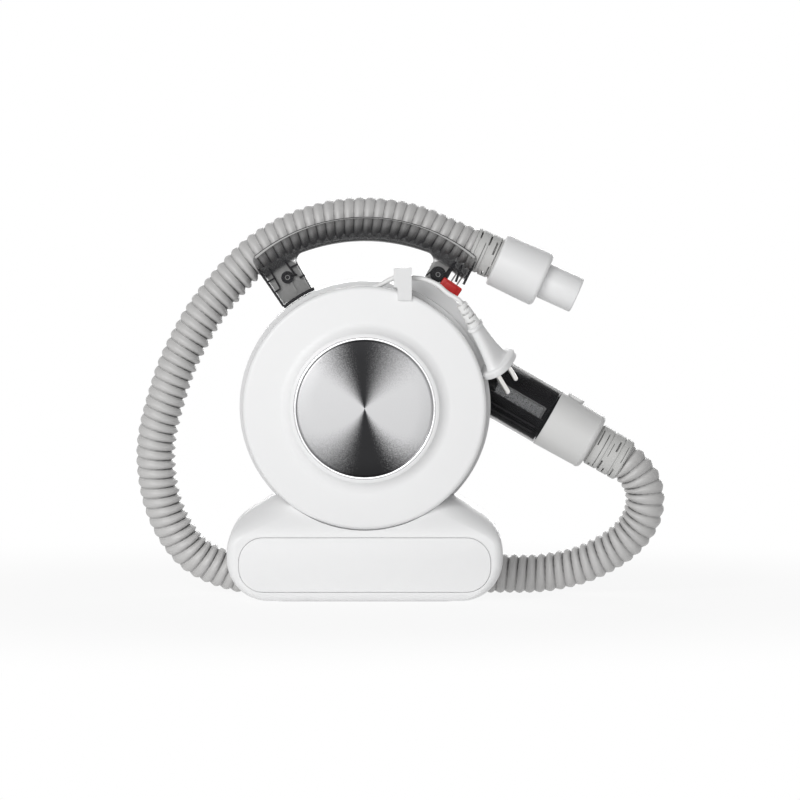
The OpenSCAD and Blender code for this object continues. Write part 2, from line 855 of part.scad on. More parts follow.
// A ribbed tube with a bore: two rings to a rib outside, one ring to every second rib inside
module ribbed_tube(route, ribs, r, depth, bore, sides) {
    path = smooth_path(route);
    outer = spaced(path, 2 * ribs);
    inner = spaced(path, ribs / 2);
    up = [0, 1, 0];
    no = len(outer);
    ni = len(inner);
    outer_points = [
        for (i = [0 : no - 1]) each ring_points(outer, i, i % 2 == 0 ? r - depth : r, sides, up)
    ];
    inner_points = [for (i = [0 : ni - 1]) each ring_points(inner, i, bore, sides, up)];
    base = no * sides;
    outer_faces = [for (i = [0 : no - 2]) each band(i * sides, (i + 1) * sides, sides)];
    inner_faces = [
        for (i = [0 : ni - 2], f = band(base + i * sides, base + (i + 1) * sides, sides)) [f[0], f[2], f[1]]
    ];
    start_cap = [for (f = band(base, 0, sides)) f];
    end_cap = [for (f = band((no - 1) * sides, base + (ni - 1) * sides, sides)) f];
    polyhedron(
        points = concat(outer_points, inner_points),
        faces = concat(outer_faces, inner_faces, start_cap, end_cap),
        convexity = 10
    );
}

module hose() {
    color(grey)
        ribbed_tube(hose_points, hose_ribs, hose_r, rib_h, hose_bore, 8);
}

// ---------------------------------------------------------------- nozzle

cuff_in = 9;

module nozzle_cuff() {
    color(grey)
        on_nozzle()
            slotted_cuff(-21, cuff_in, 3, -21);
}

module nozzle_grip() {
    color(white)
        on_nozzle()
            rotate_extrude()
                polygon(concat(
                    [[cuff_r + cuff_wall + running, 0.3], [grip_r - 1.5, 0.3], [grip_r, 1.8]],
                    arc(grip_front_r - 3, grip_l - 3, 3, 0, 90, 5),
                    [[tip_root_r() + snug, grip_l], [tip_root_r() + snug, grip_l - 6]],
                    [[grip_front_r - 2.6, grip_l - 6], [grip_r - 2.2, cuff_in + 1.9]],
                    [[hose_bore, cuff_in + 1.9], [hose_bore, cuff_in + fit], [cuff_r + cuff_wall + running, cuff_in + fit]]
                ));
}

function tip_root_r() = tip_r + 0.6;

// Outlet tube: a flange and a thicker root held in the grip, then the plain tube that attachments slide over
module nozzle_tip() {
    color(white)
        on_nozzle()
            rotate_extrude()
                polygon(concat(
                    [[tip_r - tip_wall, grip_l - 9], [tip_r + 2.2, grip_l - 9], [tip_r + 2.2, grip_l - 6 - snug]],
                    [[tip_root_r(), grip_l - 6 - snug], [tip_root_r(), grip_l + 0.2], [tip_r - 0.3, grip_l + 0.2]],
                    [[tip_r - 0.3, grip_l + 0.5], [tip_r, grip_l + 0.5]],
                    [[tip_r, grip_l + tip_l - 1.5], [tip_r - 1, grip_l + tip_l], [tip_r - tip_wall, grip_l + tip_l]]
                ));
}

// ---------------------------------------------------------------- handle

// Front view of the whole handle, before the gap for the fingers is taken out
module handle_blank() {
    top = handle_z + seat_r;
    intersection() {
        translate([0, handle_z])
            circle(seat_r);
        offset(r = 5.2, $fn = 48)
            offset(delta = -5.2)
                intersection() {
                    polygon([
                        [hx(-48), hz(52.5)], [hx(48), hz(52.5)],
                        [hx(84), hz(105.5)], [hx(87.5), hz(112)], [hx(87.5), top + 15],
                        [hx(-87.5), top + 15], [hx(-87.5), hz(112)], [hx(-84), hz(105.5)]
                    ]);
                    translate([0, handle_z])
                        circle(seat_r + 0.01, $fn = 180);
                }
    }
}

// The gap that the fingers go through
module finger_gap() {
    arc_z = handle_z + seat_r - handle_t - grip_arc_r;
    offset(r = 6, $fn = 48)
        offset(delta = -6)
            intersection() {
                translate([0, arc_z])
                    circle(grip_arc_r, $fn = 180);
                polygon([
                    [hx(-30), hz(70.5)], [hx(30), hz(70.5)], [hx(53.2), hz(112)], [hx(67.5), hz(136)],
                    [hx(-67.5), hz(136)], [hx(-53.2), hz(112)]
                ]);
            }
}

module handle_outline() {
    difference() {
        handle_blank();
        finger_gap();
        housing_outline(fit);
        scroll_outline(fit);
    }
}

// Puts local X up along the right leg from the middle of the slider, and local Z across it towards the drum
module on_leg() {
    translate([hx(66.7), 0, hz(92)])
        rotate([0, -(90 - leg_lean), 0])
            children();
}

// Room for the hose, on its arc over the handle and straight towards the nozzle
module hose_seat(gap) {
    translate([0, duct_y, handle_z])
        rotate([-90, 0, 0])
            rotate_extrude()
                translate([seat_r, 0])
                    circle(hose_r + gap);
    on_nozzle(-52.5)
        cylinder(r = cuff_r + cuff_wall + gap, h = 60);
}

slider_l = 8;
slider_w = 17.3;
slider_out = 8.7;
slider_d = 9;

// The open slot in the right leg's outer edge that the red slider runs in
module slider_window(y0, y1, grow) {
    translate([0, y0, 0])
        on_leg()
            translate([-slider_l / 2 - 6, 0, -slider_out - 12])
                cube([slider_l + slider_travel + 6 + fit + grow, y1 - y0, slider_w + 12 + fit + grow]);
}

module handle_shell(y0, y1, wall_y0, wall_y1) {
    difference() {
        along_y(y0, y1)
            handle_outline();
        along_y(wall_y0, wall_y1)
            offset(delta = -handle_wall)
                handle_outline();
        hose_seat(seat_gap);
        slider_window(y0 - 1, y1 + 1, 0);
        for (b = bosses)
            disc_y(b[0], b[1], screw_r + fit, y0 - 1, y1 + 1);
    }
}

module handle_front() {
    color(smoke)
        handle_shell(handle_y0, duct_y - 0.05, handle_y0 + handle_wall, duct_y + 1);
}

module handle_rear() {
    color(smoke)
        handle_shell(duct_y + 0.05, handle_y1, duct_y - 1, handle_y1 - handle_wall);
}

function leg_points(p) = [for (q = p) [hx(q[0]), hz(q[1])]];

// Grey inner frame in each leg: a web with a screw boss and a rib, and the slider's two guide bars on the right
module handle_frame() {
    inner_y0 = handle_y0 + handle_wall + fit;
    inner_y1 = handle_y1 - handle_wall - fit;
    left_web = leg_points([[-48, 92], [-56, 108], [-78, 108], [-80.5, 104.5], [-68.5, 89.5], [-54, 86.5]]);
    left_rib = leg_points([[-52.5, 89], [-53.9, 88.2], [-66, 107], [-64.6, 107.8]]);
    right_web = leg_points([[50, 99], [56, 108.5], [78, 108], [80.5, 104.5], [75.5, 97.5], [58, 95]]);
    color([0.45, 0.45, 0.46]) {
        difference() {
            union() {
                along_y(duct_y - 1.5, duct_y + 1.5)
                    polygon(left_web);
                along_y(inner_y0, inner_y1)
                    polygon(left_rib);
                disc_y(bosses[0][0], bosses[0][1], 4.2, inner_y0, inner_y1);
            }
            hose_seat(seat_gap + 1.5);
            disc_y(bosses[0][0], bosses[0][1], screw_r + snug, inner_y0 - 1, inner_y1 + 1);
        }
        difference() {
            union() {
                along_y(duct_y - 1.5, duct_y + 1.5)
                    polygon(right_web);
                disc_y(bosses[1][0], bosses[1][1], 4.2, inner_y0, inner_y1);
            }
            hose_seat(seat_gap + 1.5);
            slider_window(inner_y0 - 1, inner_y1 + 1, 0.5);
            disc_y(bosses[1][0], bosses[1][1], screw_r + snug, inner_y0 - 1, inner_y1 + 1);
        }
        for (k = [-4, 1.2])
            translate([0, duct_y - 1.6, 0])
                on_leg()
                    translate([-slider_l / 2 + 1, 0, k])
                        cube([slider_l + slider_travel + 3, 1.6, 1.2]);
    }
}

module handle_screws() {
    color(dark)
        for (b = bosses) {
            disc_y(b[0], b[1], 2.7, handle_y1 + 0.05, handle_y1 + 1.7);
            disc_y(b[0], b[1], screw_r, handle_y0 + handle_wall + 3, handle_y1 + 0.5);
        }
}

// Red slider in the right leg's slot, with a rounded thumb pad at the outer edge
module power_slider() {
    color([0.78, 0.10, 0.09])
        translate([0, handle_y0 - 0.6, 0])
            on_leg()
                translate([-slider_l / 2, 0, -slider_out])
                    rotate([-90, 0, 0])
                        translate([slider_l / 2, -slider_w / 2, 0])
                            linear_extrude(slider_d)
                                rounded(slider_l, slider_w, 1.5);
}

// The switch that the slider works, held in the leg behind the slider
module slide_switch() {
    color(dark)
        translate([0, handle_y0 + slider_d, 0])
            on_leg()
                translate([-slider_l / 2, 0, 2.8])
                    cube([slider_l - 1, 6.4, 6]);
}

// ---------------------------------------------------------------- cord

cord_loop_rings = 24;

function winding_point(k) =
    let (
        total = round(cord_loops * cord_loop_rings),
        a = leave_angle + 360 * (total - k) / cord_loop_rings,
        y = winding_y0 - winding_pitch * k / cord_loop_rings
    )
    [winding_r * cos(a), y, drum_h + winding_r * sin(a)];

winding_rings = round(cord_loops * cord_loop_rings);
winding_end = winding_point(winding_rings);
winding_start = winding_point(0);
leave_dir = [sin(leave_angle), 0, -cos(leave_angle)];
start_dir = [sin(leave_angle + 360 * winding_rings / cord_loop_rings), 0, -cos(leave_angle + 360 * winding_rings / cord_loop_rings)];
winding_path = concat(
    [winding_start - cord_d * start_dir],
    [for (k = [0 : winding_rings]) winding_point(k)],
    [winding_end + (cord_d - 0.05) * leave_dir]
);

// The least gap between neighbouring loops, from surface to surface
winding_gap = min([
    for (k = [0 : winding_rings - cord_loop_rings])
        for (j = [cord_loop_rings - 2 : min(cord_loop_rings + 2, winding_rings - k)])
            norm(winding_point(k + j) - winding_point(k)) - cord_d
]);
echo(winding_gap = winding_gap);

module cord_winding() {
    color(white)
        solid_tube(winding_path, cord_d / 2, 6, [0, 1, 0]);
}

// Moulded inlet on the spool that the cord's inner end goes into
module cord_gland() {
    gland = winding_start - (cord_d + 0.05) * start_dir;
    angle = leave_angle + 360 * winding_rings / cord_loop_rings;
    color(grey)
        difference() {
            translate([gland[0], gland[1], gland[2]])
                rotate([0, 90 - angle, 0])
                    translate([-7, -cord_d / 2, -cord_d / 2 - fit])
                        cube([7, cord_d + 0.1, cord_d + 1]);
            disc_y(0, drum_h, spool_r + 0.05, housing_y - 30, housing_y + 30);
        }
}

cord_points = [
    winding_end + cord_d * leave_dir,
    winding_end + 3 * cord_d * leave_dir,
    [8, clip_y, drum_h + 93.2], [clip_x0 - 1, clip_y, clip_z - 0.6],
    [clip_x0 + 3, clip_y, clip_z], [clip_x0 + clip_w, clip_y, clip_z],
    [46, clip_y - 3, drum_h + 99.5], [56, clip_y - 7, drum_h + 95.5], [64, clip_y - 10.2, drum_h + 89],
    plug_point(-plug_l - relief_l - cord_d), plug_point(-plug_l - relief_l - 0.3)
];

function plug_point(t) = [plug_x, plug_y, plug_z] + t * plug_dir;

module cord_tail() {
    color(white)
        solid_tube(spaced(smooth_path(cord_points), 22), cord_d / 2, 8, [0, 1, 0]);
}

// Clip that hooks over the cover's rim and holds the cord above it
module cord_clip() {
    front = cover_y - 0.2;
    back = groove_y + 0.3;
    color(white)
        difference() {
            translate([clip_x0, 0, 0])
                rotate([90, 0, 90])
                    linear_extrude(clip_w)
                        difference() {
                            union() {
                                translate([front - 1.8, drum_h + 94.5])
                                    square([back + cord_d + 3.4 - front, 14]);
                                translate([front - 1.8, drum_h + 83.5])
                                    square([1.8, 15]);
                                translate([back, drum_h + 84.8])
                                    square([1.5, 15]);
                            }
                            translate([clip_y, clip_z])
                                circle(cord_d / 2 + 0.6);
                            translate([front + 1.8, drum_h + 98.2])
                                square([back - front - 3.6, 6]);
                        }
            translate([clip_x0 - 1, -75, drum_h + 75])
                cube([4, 75, 17]);
            disc_y(0, drum_h, cover_r + 0.4, cover_y, groove_y);
        }
}

module plug_relief() {
    relief_step = relief_l / 5;
    color(white)
        on_plug()
            translate([0, 0, -plug_l - relief_l])
                difference() {
                    cylinder(r1 = cord_d / 2 + 2.2, r2 = cord_d / 2 + 3.8, h = relief_l - 0.05);
                    for (i = [0 : 3], s = [0, 180])
                        translate([0, 0, (i + 0.7) * relief_step])
                            rotate([0, 0, s + i * 90 + 25])
                                rotate_extrude(angle = 130)
                                    translate([cord_d / 2 + 1, 0])
                                        square([6, relief_step * 0.42]);
                }
}

// Flat fan-shaped plug that widens from its neck to an oval face
module plug_body() {
    flange_t = 6;
    color(white)
        on_plug() {
            hull() {
                for (s = [-1, 1]) {
                    translate([s * 2.8, 0, -plug_l])
                        cylinder(r = 4.6, h = 2, $fn = 32);
                    translate([s * 7.5, 0, -flange_t - 2])
                        cylinder(r = 5.5, h = 2.5, $fn = 32);
                }
            }
            translate([0, 0, -plug_l])
                linear_extrude(3)
                    rounded(16, 11, 5.4);
            translate([0, 0, -flange_t])
                linear_extrude(flange_t)
                    rounded(36, 27, 13);
        }
}

module plug_pins() {
    color(steel)
        on_plug()
            for (s = [-1, 1])
                translate([s * pin_pitch / 2, 0, 0.05]) {
                    cylinder(r = pin_r, h = pin_l - 1.5);
                    translate([0, 0, pin_l - 1.6])
                        cylinder(r1 = pin_r, r2 = pin_r * 0.6, h = 1.6);
                }
}

// ---------------------------------------------------------------- nodes

foot_shell();
foot_plate();
foot_sole();
foot_panel();
plate_screws();
control_board();
rear_housing();
cord_spool();
front_cover();
steel_disc();
disc_ring();
motor();
motor_mount();
impeller();
motor_shaft();
inlet_plate();
air_filter();
rear_cover();
intake_grille();
rear_cover_screws();
outlet_duct();
heater_frame();
heater_fins();
hose_collar();
release_button();
outlet_cuff();
hose();
nozzle_cuff();
nozzle_grip();
nozzle_tip();
handle_front();
handle_rear();
handle_frame();
handle_screws();
power_slider();
slide_switch();
cord_winding();
cord_gland();
cord_tail();
cord_clip();
plug_relief();
plug_body();
plug_pins();
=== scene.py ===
"""Looks of a pet dryer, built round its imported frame.

The dryer is a white blower drum on a wide foot. A smoked handle cradles the ribbed hose, the mains cord is wound
behind the front cover, and a hand nozzle closes the hose. Sizes in the classes are millimetres, in the frame of the
CAD part: +Z up, -Y the front, +X the side of the outlet duct. Meshes are made in metres.
"""

import json
import logging
import math
from dataclasses import dataclass, field
from enum import Enum
from typing import Callable, Iterable, Sequence

import bmesh
import bpy
from mathutils import Matrix, Vector

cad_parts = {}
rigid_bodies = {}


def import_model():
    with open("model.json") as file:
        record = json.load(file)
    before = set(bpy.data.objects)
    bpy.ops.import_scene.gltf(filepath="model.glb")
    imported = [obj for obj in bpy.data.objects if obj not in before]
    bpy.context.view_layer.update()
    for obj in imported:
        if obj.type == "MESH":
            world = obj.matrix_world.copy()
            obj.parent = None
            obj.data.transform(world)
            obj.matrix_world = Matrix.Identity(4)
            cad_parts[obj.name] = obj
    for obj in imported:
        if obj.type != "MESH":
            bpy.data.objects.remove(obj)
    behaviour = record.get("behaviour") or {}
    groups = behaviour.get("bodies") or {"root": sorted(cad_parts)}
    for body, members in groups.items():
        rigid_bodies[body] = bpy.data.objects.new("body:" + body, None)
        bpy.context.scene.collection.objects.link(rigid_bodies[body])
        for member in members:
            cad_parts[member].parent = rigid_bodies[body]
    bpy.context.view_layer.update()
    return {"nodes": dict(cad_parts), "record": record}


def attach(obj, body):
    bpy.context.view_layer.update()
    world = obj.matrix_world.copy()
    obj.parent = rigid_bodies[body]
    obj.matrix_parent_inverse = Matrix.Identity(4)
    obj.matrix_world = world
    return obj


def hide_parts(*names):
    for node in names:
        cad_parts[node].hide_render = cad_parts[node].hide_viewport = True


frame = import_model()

LOG = logging.getLogger("pet_dryer")
MM = 0.001

Point2 = tuple[float, float]
Colour = tuple[float, float, float]


class Body(str, Enum):
    """Moving bodies of the part, with the name that each has in the record."""

    DRYER = "dryer"
    FAN = "fan"
    GRILLE = "grille"
    RELEASE = "release"
    POWER = "power"
    NOZZLE = "nozzle"


class Slot(str, Enum):
    """Material slots of the record."""

    WHITE = "white_shell"
    GREY = "grey_plastic"
    RUBBER = "black_rubber"
    STEEL = "steel"
    BOARD = "circuit_board"
    SPUN = "spun_steel"
    TRIM = "polished_trim"
    BLACK = "black_plastic"
    FOAM = "filter_foam"
    SMOKE = "smoked_plastic"
    FINS = "aluminium_fins"
    CUFF = "grey_rubber"
    HOSE = "hose_grey"
    FRAME = "dark_grey_plastic"
    DARK_STEEL = "dark_steel"
    RED = "red_plastic"
    CORD = "white_cord"
    NICKEL = "nickel"


# ------------------------------------------------------------------------------------------------ shader maths


class Signal:
    """A shader socket that can be used in Python expressions."""

    def __init__(self, graph: "Graph", socket: bpy.types.NodeSocket) -> None:
        """Wraps a socket.

        Args:
            graph: The material graph that the socket belongs to.
            socket: An output socket.
        """
        self.graph = graph
        self.socket = socket

    def _math(self, operation: str, *values: "Signal | float") -> "Signal":
        """Adds a Math node on these values and returns its result."""
        return self.graph.add("ShaderNodeMath", {"operation": operation}, dict(enumerate(values)))

    def __add__(self, other: "Signal | float") -> "Signal":
        """self + other."""
        return self._math("ADD", self, other)

    def __radd__(self, other: float) -> "Signal":
        """other + self."""
        return self._math("ADD", other, self)

    def __sub__(self, other: "Signal | float") -> "Signal":
        """self - other."""
        return self._math("SUBTRACT", self, other)

    def __rsub__(self, other: float) -> "Signal":
        """other - self."""
        return self._math("SUBTRACT", other, self)

    def __mul__(self, other: "Signal | float") -> "Signal":
        """self * other."""
        return self._math("MULTIPLY", self, other)

    def __rmul__(self, other: float) -> "Signal":
        """other * self."""
        return self._math("MULTIPLY", other, self)

    def __truediv__(self, other: "Signal | float") -> "Signal":
        """self / other."""
        return self._math("DIVIDE", self, other)

    def root(self) -> "Signal":
        """The square root."""
        return self._math("SQRT", self)

    def angle_to(self, other: "Signal") -> "Signal":
        """The angle whose tangent is self / other."""
        return self._math("ARCTAN2", self, other)

    def largest(self, other: "Signal | float") -> "Signal":
        """The larger of the two."""
        return self._math("MAXIMUM", self, other)

    def smooth(self, low: float, high: float) -> "Signal":
        """0 below low, 1 above high and a smooth step between them."""
        return self.graph.add(
            "ShaderNodeMapRange",
            {"interpolation_type": "SMOOTHSTEP"},
            {"Value": self, "From Min": low, "From Max": high},
        )


class Graph:
    """The shader nodes of one material or of the world."""

    def __init__(self, owner: "bpy.types.Material | bpy.types.World") -> None:
        """Starts with no nodes.

        Args:
            owner: The material or world that the nodes belong to.
        """
        self.owner = owner
        owner.use_nodes = True
        self.tree = owner.node_tree
        self.tree.nodes.clear()

    def add(self, kind: str, settings: dict | None = None, sockets: dict | None = None, out: int | str = 0) -> Signal:
        """Adds a node.

        Args:
            kind: The node's type.
            settings: Attributes of the node, set first.
            sockets: Values or signals of its input sockets, by name or index.
            out: The output that is returned, by name or index.

        Returns:
            The chosen output as a signal.
        """
        node = self.tree.nodes.new(kind)
        for key, value in (settings or {}).items():
            setattr(node, key, value)
        for key, value in (sockets or {}).items():
            target = node.inputs[key]
            if isinstance(value, Signal):
                self.tree.links.new(value.socket, target)
            elif isinstance(value, tuple) and len(value) == 3 and len(target.default_value) == 4:
                target.default_value = (*value, 1.0)
            else:
                target.default_value = value
        return Signal(self, node.outputs[out])

    def coordinates(self) -> Signal:
        """The object's own coordinates, in metres."""
        return self.add("ShaderNodeTexCoord", out="Object")

    def axes(self, vector: Signal) -> tuple[Signal, Signal, Signal]:
        """The three parts of a vector."""
        first = self.add("ShaderNodeSeparateXYZ", sockets={0: vector})
        outputs = first.socket.node.outputs
        return first, Signal(self, outputs[1]), Signal(self, outputs[2])

    def vector(self, x: "Signal | float", y: "Signal | float", z: "Signal | float") -> Signal:
        """A vector of three values."""
        return self.add("ShaderNodeCombineXYZ", sockets={0: x, 1: y, 2: z})

    def noise(self, vector: Signal, scale: float, detail: float = 2.0) -> Signal:
        """Noise between 0 and 1 at so many cells to the metre."""
        return self.add("ShaderNodeTexNoise", sockets={"Vector": vector, "Scale": scale, "Detail": detail})

    def blend(self, factor: "Signal | float", first: "Signal | Colour", second: "Signal | Colour") -> Signal:
        """Mixes two colours."""
        return self.add("ShaderNodeMix", {"data_type": "RGBA"}, {0: factor, 6: first, 7: second}, out=2)

    def bump(self, height: Signal, distance: float, strength: float = 1.0) -> Signal:
        """Turns a height into a normal; distance is in metres."""
        return self.add("ShaderNodeBump", sockets={"Height": height, "Distance": distance, "Strength": strength})

    def stored(self, name: str, out: str = "Fac") -> Signal:
        """A value that is stored on the mesh under a name."""
        return self.add("ShaderNodeAttribute", {"attribute_name": name}, out=out)

    def surface(
        self, shader: Signal, kind: str = "ShaderNodeOutputMaterial"
    ) -> "bpy.types.Material | bpy.types.World":
        """Ends the graph in this shader and returns its owner."""
        output = self.tree.nodes.new(kind)
        self.tree.links.new(shader.socket, output.inputs["Surface"])
        return self.owner

    def principled(self, **sockets: "Signal | float | Colour") -> bpy.types.Material:
        """Ends the graph in a Principled shader.

        Args:
            **sockets: Socket values, with underscores for the spaces of their names.

        Returns:
            The finished material.
        """
        named = {key.replace("_", " "): value for key, value in sockets.items()}
        return self.surface(self.add("ShaderNodeBsdfPrincipled", sockets=named))


def shade(colour: Colour, factor: float) -> Colour:
    """A colour made lighter or darker."""
    return tuple(min(1.0, part * factor) for part in colour)


# ------------------------------------------------------------------------------------------------ finishes


@dataclass(frozen=True)
class Moulded:
    """Moulded plastic or rubber with a fine skin grain and a faint unevenness in colour and gloss, and painted shade on
    pieces that store it.
    """

    slot: Slot
    colour: Colour
    roughness: float
    grain: float = 0.006
    cells: float = 2600.0
    unevenness: float = 0.02
    coat: float = 0.0
    gloss: float = 0.5

    def make(self) -> bpy.types.Material:
        """Builds the material."""
        g = Graph(bpy.data.materials.new(self.slot.value))
        place = g.coordinates()
        cloud = g.noise(place, 38.0, 3.0)
        skin = g.noise(place, self.cells, 1.0)
        colour = g.blend(cloud, shade(self.colour, 1 - self.unevenness), shade(self.colour, 1 + self.unevenness))
        # Painted shade: where a piece stores a share of it, the colour is darkened towards 60 per cent, standing in for
        # shade that falls on it.
        shade_share = g.stored("dull")
        return g.principled(
            Base_Color=g.blend(shade_share, colour, shade(self.colour, 0.6)),
            Roughness=self.roughness + (cloud - 0.5) * 0.12,
            Normal=g.bump(skin, self.grain * MM),
            Coat_Weight=self.coat,
            Coat_Roughness=0.12,
            Specular_IOR_Level=self.gloss,
        )


@dataclass(frozen=True)
class Smoked:
    """Smoked see-through plastic with faint flow marks, more opaque towards the bottom of the handle's grip as painted
    shade under the hose.
    """

    slot: Slot = Slot.SMOKE
    colour: Colour = (0.024, 0.024, 0.026)
    alpha: float = 0.45
    leg_alpha: float = 0.14
    shaded_alpha: float = 0.60
    arc_z: float = 160.0
    roughness: float = 0.10

    def make(self) -> bpy.types.Material:
        """Builds the material."""
        g = Graph(bpy.data.materials.new(self.slot.value))
        place = g.coordinates()
        flow = g.noise(place, 60.0, 2.0)
        x, _, z = g.axes(place)
        up = z - self.arc_z * MM
        radius = (x * x + up * up).root()
        # Painted shade: in the grip the plastic grows more opaque towards its bottom, under the hose; the legs stay
        # clearer.
        grip = radius.smooth(0.1165, 0.1190)
        deep = 1.0 - radius.smooth(0.1205, 0.1325)
        handle = self.leg_alpha + grip * (0.06 + deep * (self.shaded_alpha - self.leg_alpha - 0.06))
        return g.principled(
            Base_Color=g.blend(flow, shade(self.colour, 0.8), shade(self.colour, 1.25)),
            Roughness=self.roughness + (flow - 0.5) * 0.06,
            Normal=g.bump(flow, 0.02 * MM, 0.5),
            Specular_IOR_Level=0.06,
            Alpha=self.alpha + (handle - self.alpha) * z.smooth(0.200, 0.215),
        )


@dataclass(frozen=True)
class Metal:
    """Metal with a light machining grain."""

    slot: Slot
    colour: Colour
    roughness: float
    grain: float = 0.002
    cells: float = 1500.0

    def make(self) -> bpy.types.Material:
        """Builds the material."""
        g = Graph(bpy.data.materials.new(self.slot.value))
        place = g.coordinates()
        cloud = g.noise(place, 120.0, 3.0)
        grain = g.noise(place, self.cells, 2.0)
        return g.principled(
            Base_Color=g.blend(cloud, shade(self.colour, 0.94), shade(self.colour, 1.04)),
            Roughness=self.roughness + (grain - 0.5) * 0.10,
            Metallic=1.0,
            Normal=g.bump(grain, self.grain * MM),
        )


@dataclass(frozen=True)
class SpunSteel:
    """Steel spun in fine circles round the drum's axis, with a painted reflection: the bright and dark fans that the
    circles give are painted into its colour.
    """

    slot: Slot = Slot.SPUN
    axis_z: float = 150.0
    radius: float = 0.053
    # The bright and dark colours of the painted reflection.
    light: Colour = (0.385, 0.385, 0.39)
    dark: Colour = (0.020, 0.020, 0.021)

    def make(self) -> bpy.types.Material:
        """Builds the material."""
        g = Graph(bpy.data.materials.new(self.slot.value))
        place = g.coordinates()
        x, _, z = g.axes(place)
        up = z - self.axis_z * MM
        radius = (x * x + up * up).root()
        specks = g.noise(place, 1500.0, 2.0)
        play = (specks - 0.5) * 1.1
        # Painted reflection: bright fans above and below the middle and dark fans at the sides, by angle round the
        # axis, blended from the dark to the light colour.
        wide = 0.55 + 0.45 * (radius / self.radius)
        over = x.angle_to(up) + play * 0.45
        under = x.angle_to(up * -1.0) / wide + play * 0.6
        top_fan = over.smooth(0.0, 1.13).largest((over * -1.0).smooth(0.15, 1.0))
        low_fan = under.smooth(0.30, 1.15).largest((under * -1.0).smooth(0.12, 1.30))
        circles = g.add("ShaderNodeTexNoise", {"noise_dimensions": "1D"}, {"W": radius, "Scale": 2600.0, "Detail": 3.0})
        painted_sheen = top_fan * low_fan
        reflection_tone = g.blend(painted_sheen, self.dark, self.light)
        grained = g.blend(circles * 0.5 + specks * 0.5, (0.86,) * 3, (1.0, 1.0, 1.0))
        mixing = {"data_type": "RGBA", "blend_type": "MULTIPLY"}
        colour = g.add("ShaderNodeMix", mixing, {0: 1.0, 6: reflection_tone, 7: grained}, out=2)
        return g.principled(
            Base_Color=colour,
            Roughness=0.34 + circles * 0.12,
            Metallic=1.0,
            Normal=g.bump(circles, 0.004 * MM),
        )


@dataclass(frozen=True)
class RibbedHose:
    """Flexible hose plastic with painted shade in the grooves between its ribs, deepest on the inner side of a bend,
    and a painted highlight on the small bead in each of them.
    """

    slot: Slot = Slot.HOSE
    colour: Colour = (0.53, 0.525, 0.52)
    painted_groove_shade: Colour = (0.10, 0.10, 0.10)

    def make(self) -> bpy.types.Material:
        """Builds the material."""
        g = Graph(bpy.data.materials.new(self.slot.value))
        place = g.coordinates()
        cloud = g.noise(place, 55.0, 3.0)
        skin = g.noise(place, 2200.0, 1.0)
        rib = g.stored("rib", "Vector")
        across, along, sink = g.axes(rib)
        # Painted highlight: the small bead in each rib's valley is raised by bump and painted lighter.
        turn = along.angle_to(across) / math.tau + 0.13
        bead = 1.0 - turn.largest(turn * -1.0).smooth(0.0, 0.09)
        # Painted shade: the grooves are darkened towards the dark colour, most on the inner side of a bend and least on
        # the bead.
        inner = g.stored("inner")
        inner_bend_shade = 0.40 + inner.smooth(-0.3, 0.8) * 0.60
        plain = g.blend(cloud + bead * 0.5, shade(self.colour, 0.93), shade(self.colour, 1.06))
        return g.principled(
            Base_Color=g.blend(sink.smooth(0.3, 1.0) * (1.0 - bead * 0.8) * inner_bend_shade, plain, self.painted_groove_shade),
            Roughness=0.42 + (cloud - 0.5) * 0.15,
            Normal=g.bump(bead * 30.0 + skin * 0.6, 0.01 * MM),
        )


@dataclass(frozen=True)
class Foam:
    """Open-celled filter foam."""

    slot: Slot = Slot.FOAM
    colour: Colour = (0.055, 0.055, 0.058)

    def make(self) -> bpy.types.Material:
        """Builds the material."""
        g = Graph(bpy.data.materials.new(self.slot.value))
        place = g.coordinates()
        cells = g.add("ShaderNodeTexVoronoi", {}, {"Vector": place, "Scale": 900.0})
        return g.principled(
            Base_Color=g.blend(cells.smooth(0.1, 0.6), shade(self.colour, 0.3), shade(self.colour, 1.9)),
            Roughness=0.95,
            Normal=g.bump(cells, 0.4 * MM),
        )


@dataclass(frozen=True)
class CircuitBoard:
    """Green lacquered board with tracks under the lacquer."""

    slot: Slot = Slot.BOARD

    def make(self) -> bpy.types.Material:
        """Builds the material."""
        g = Graph(bpy.data.materials.new(self.slot.value))
        x, y, _ = g.axes(g.coordinates())
        bricks = {"Vector": g.vector(x, y, 0.0), "Scale": 90.0, "Mortar Size": 0.03}
        tracks = g.add("ShaderNodeTexBrick", {}, bricks, out="Fac")
        return g.principled(
            Base_Color=g.blend(tracks, (0.02, 0.12, 0.05), (0.05, 0.24, 0.10)),
            Roughness=0.32,
            Coat_Weight=0.5,
            Coat_Roughness=0.1,
        )


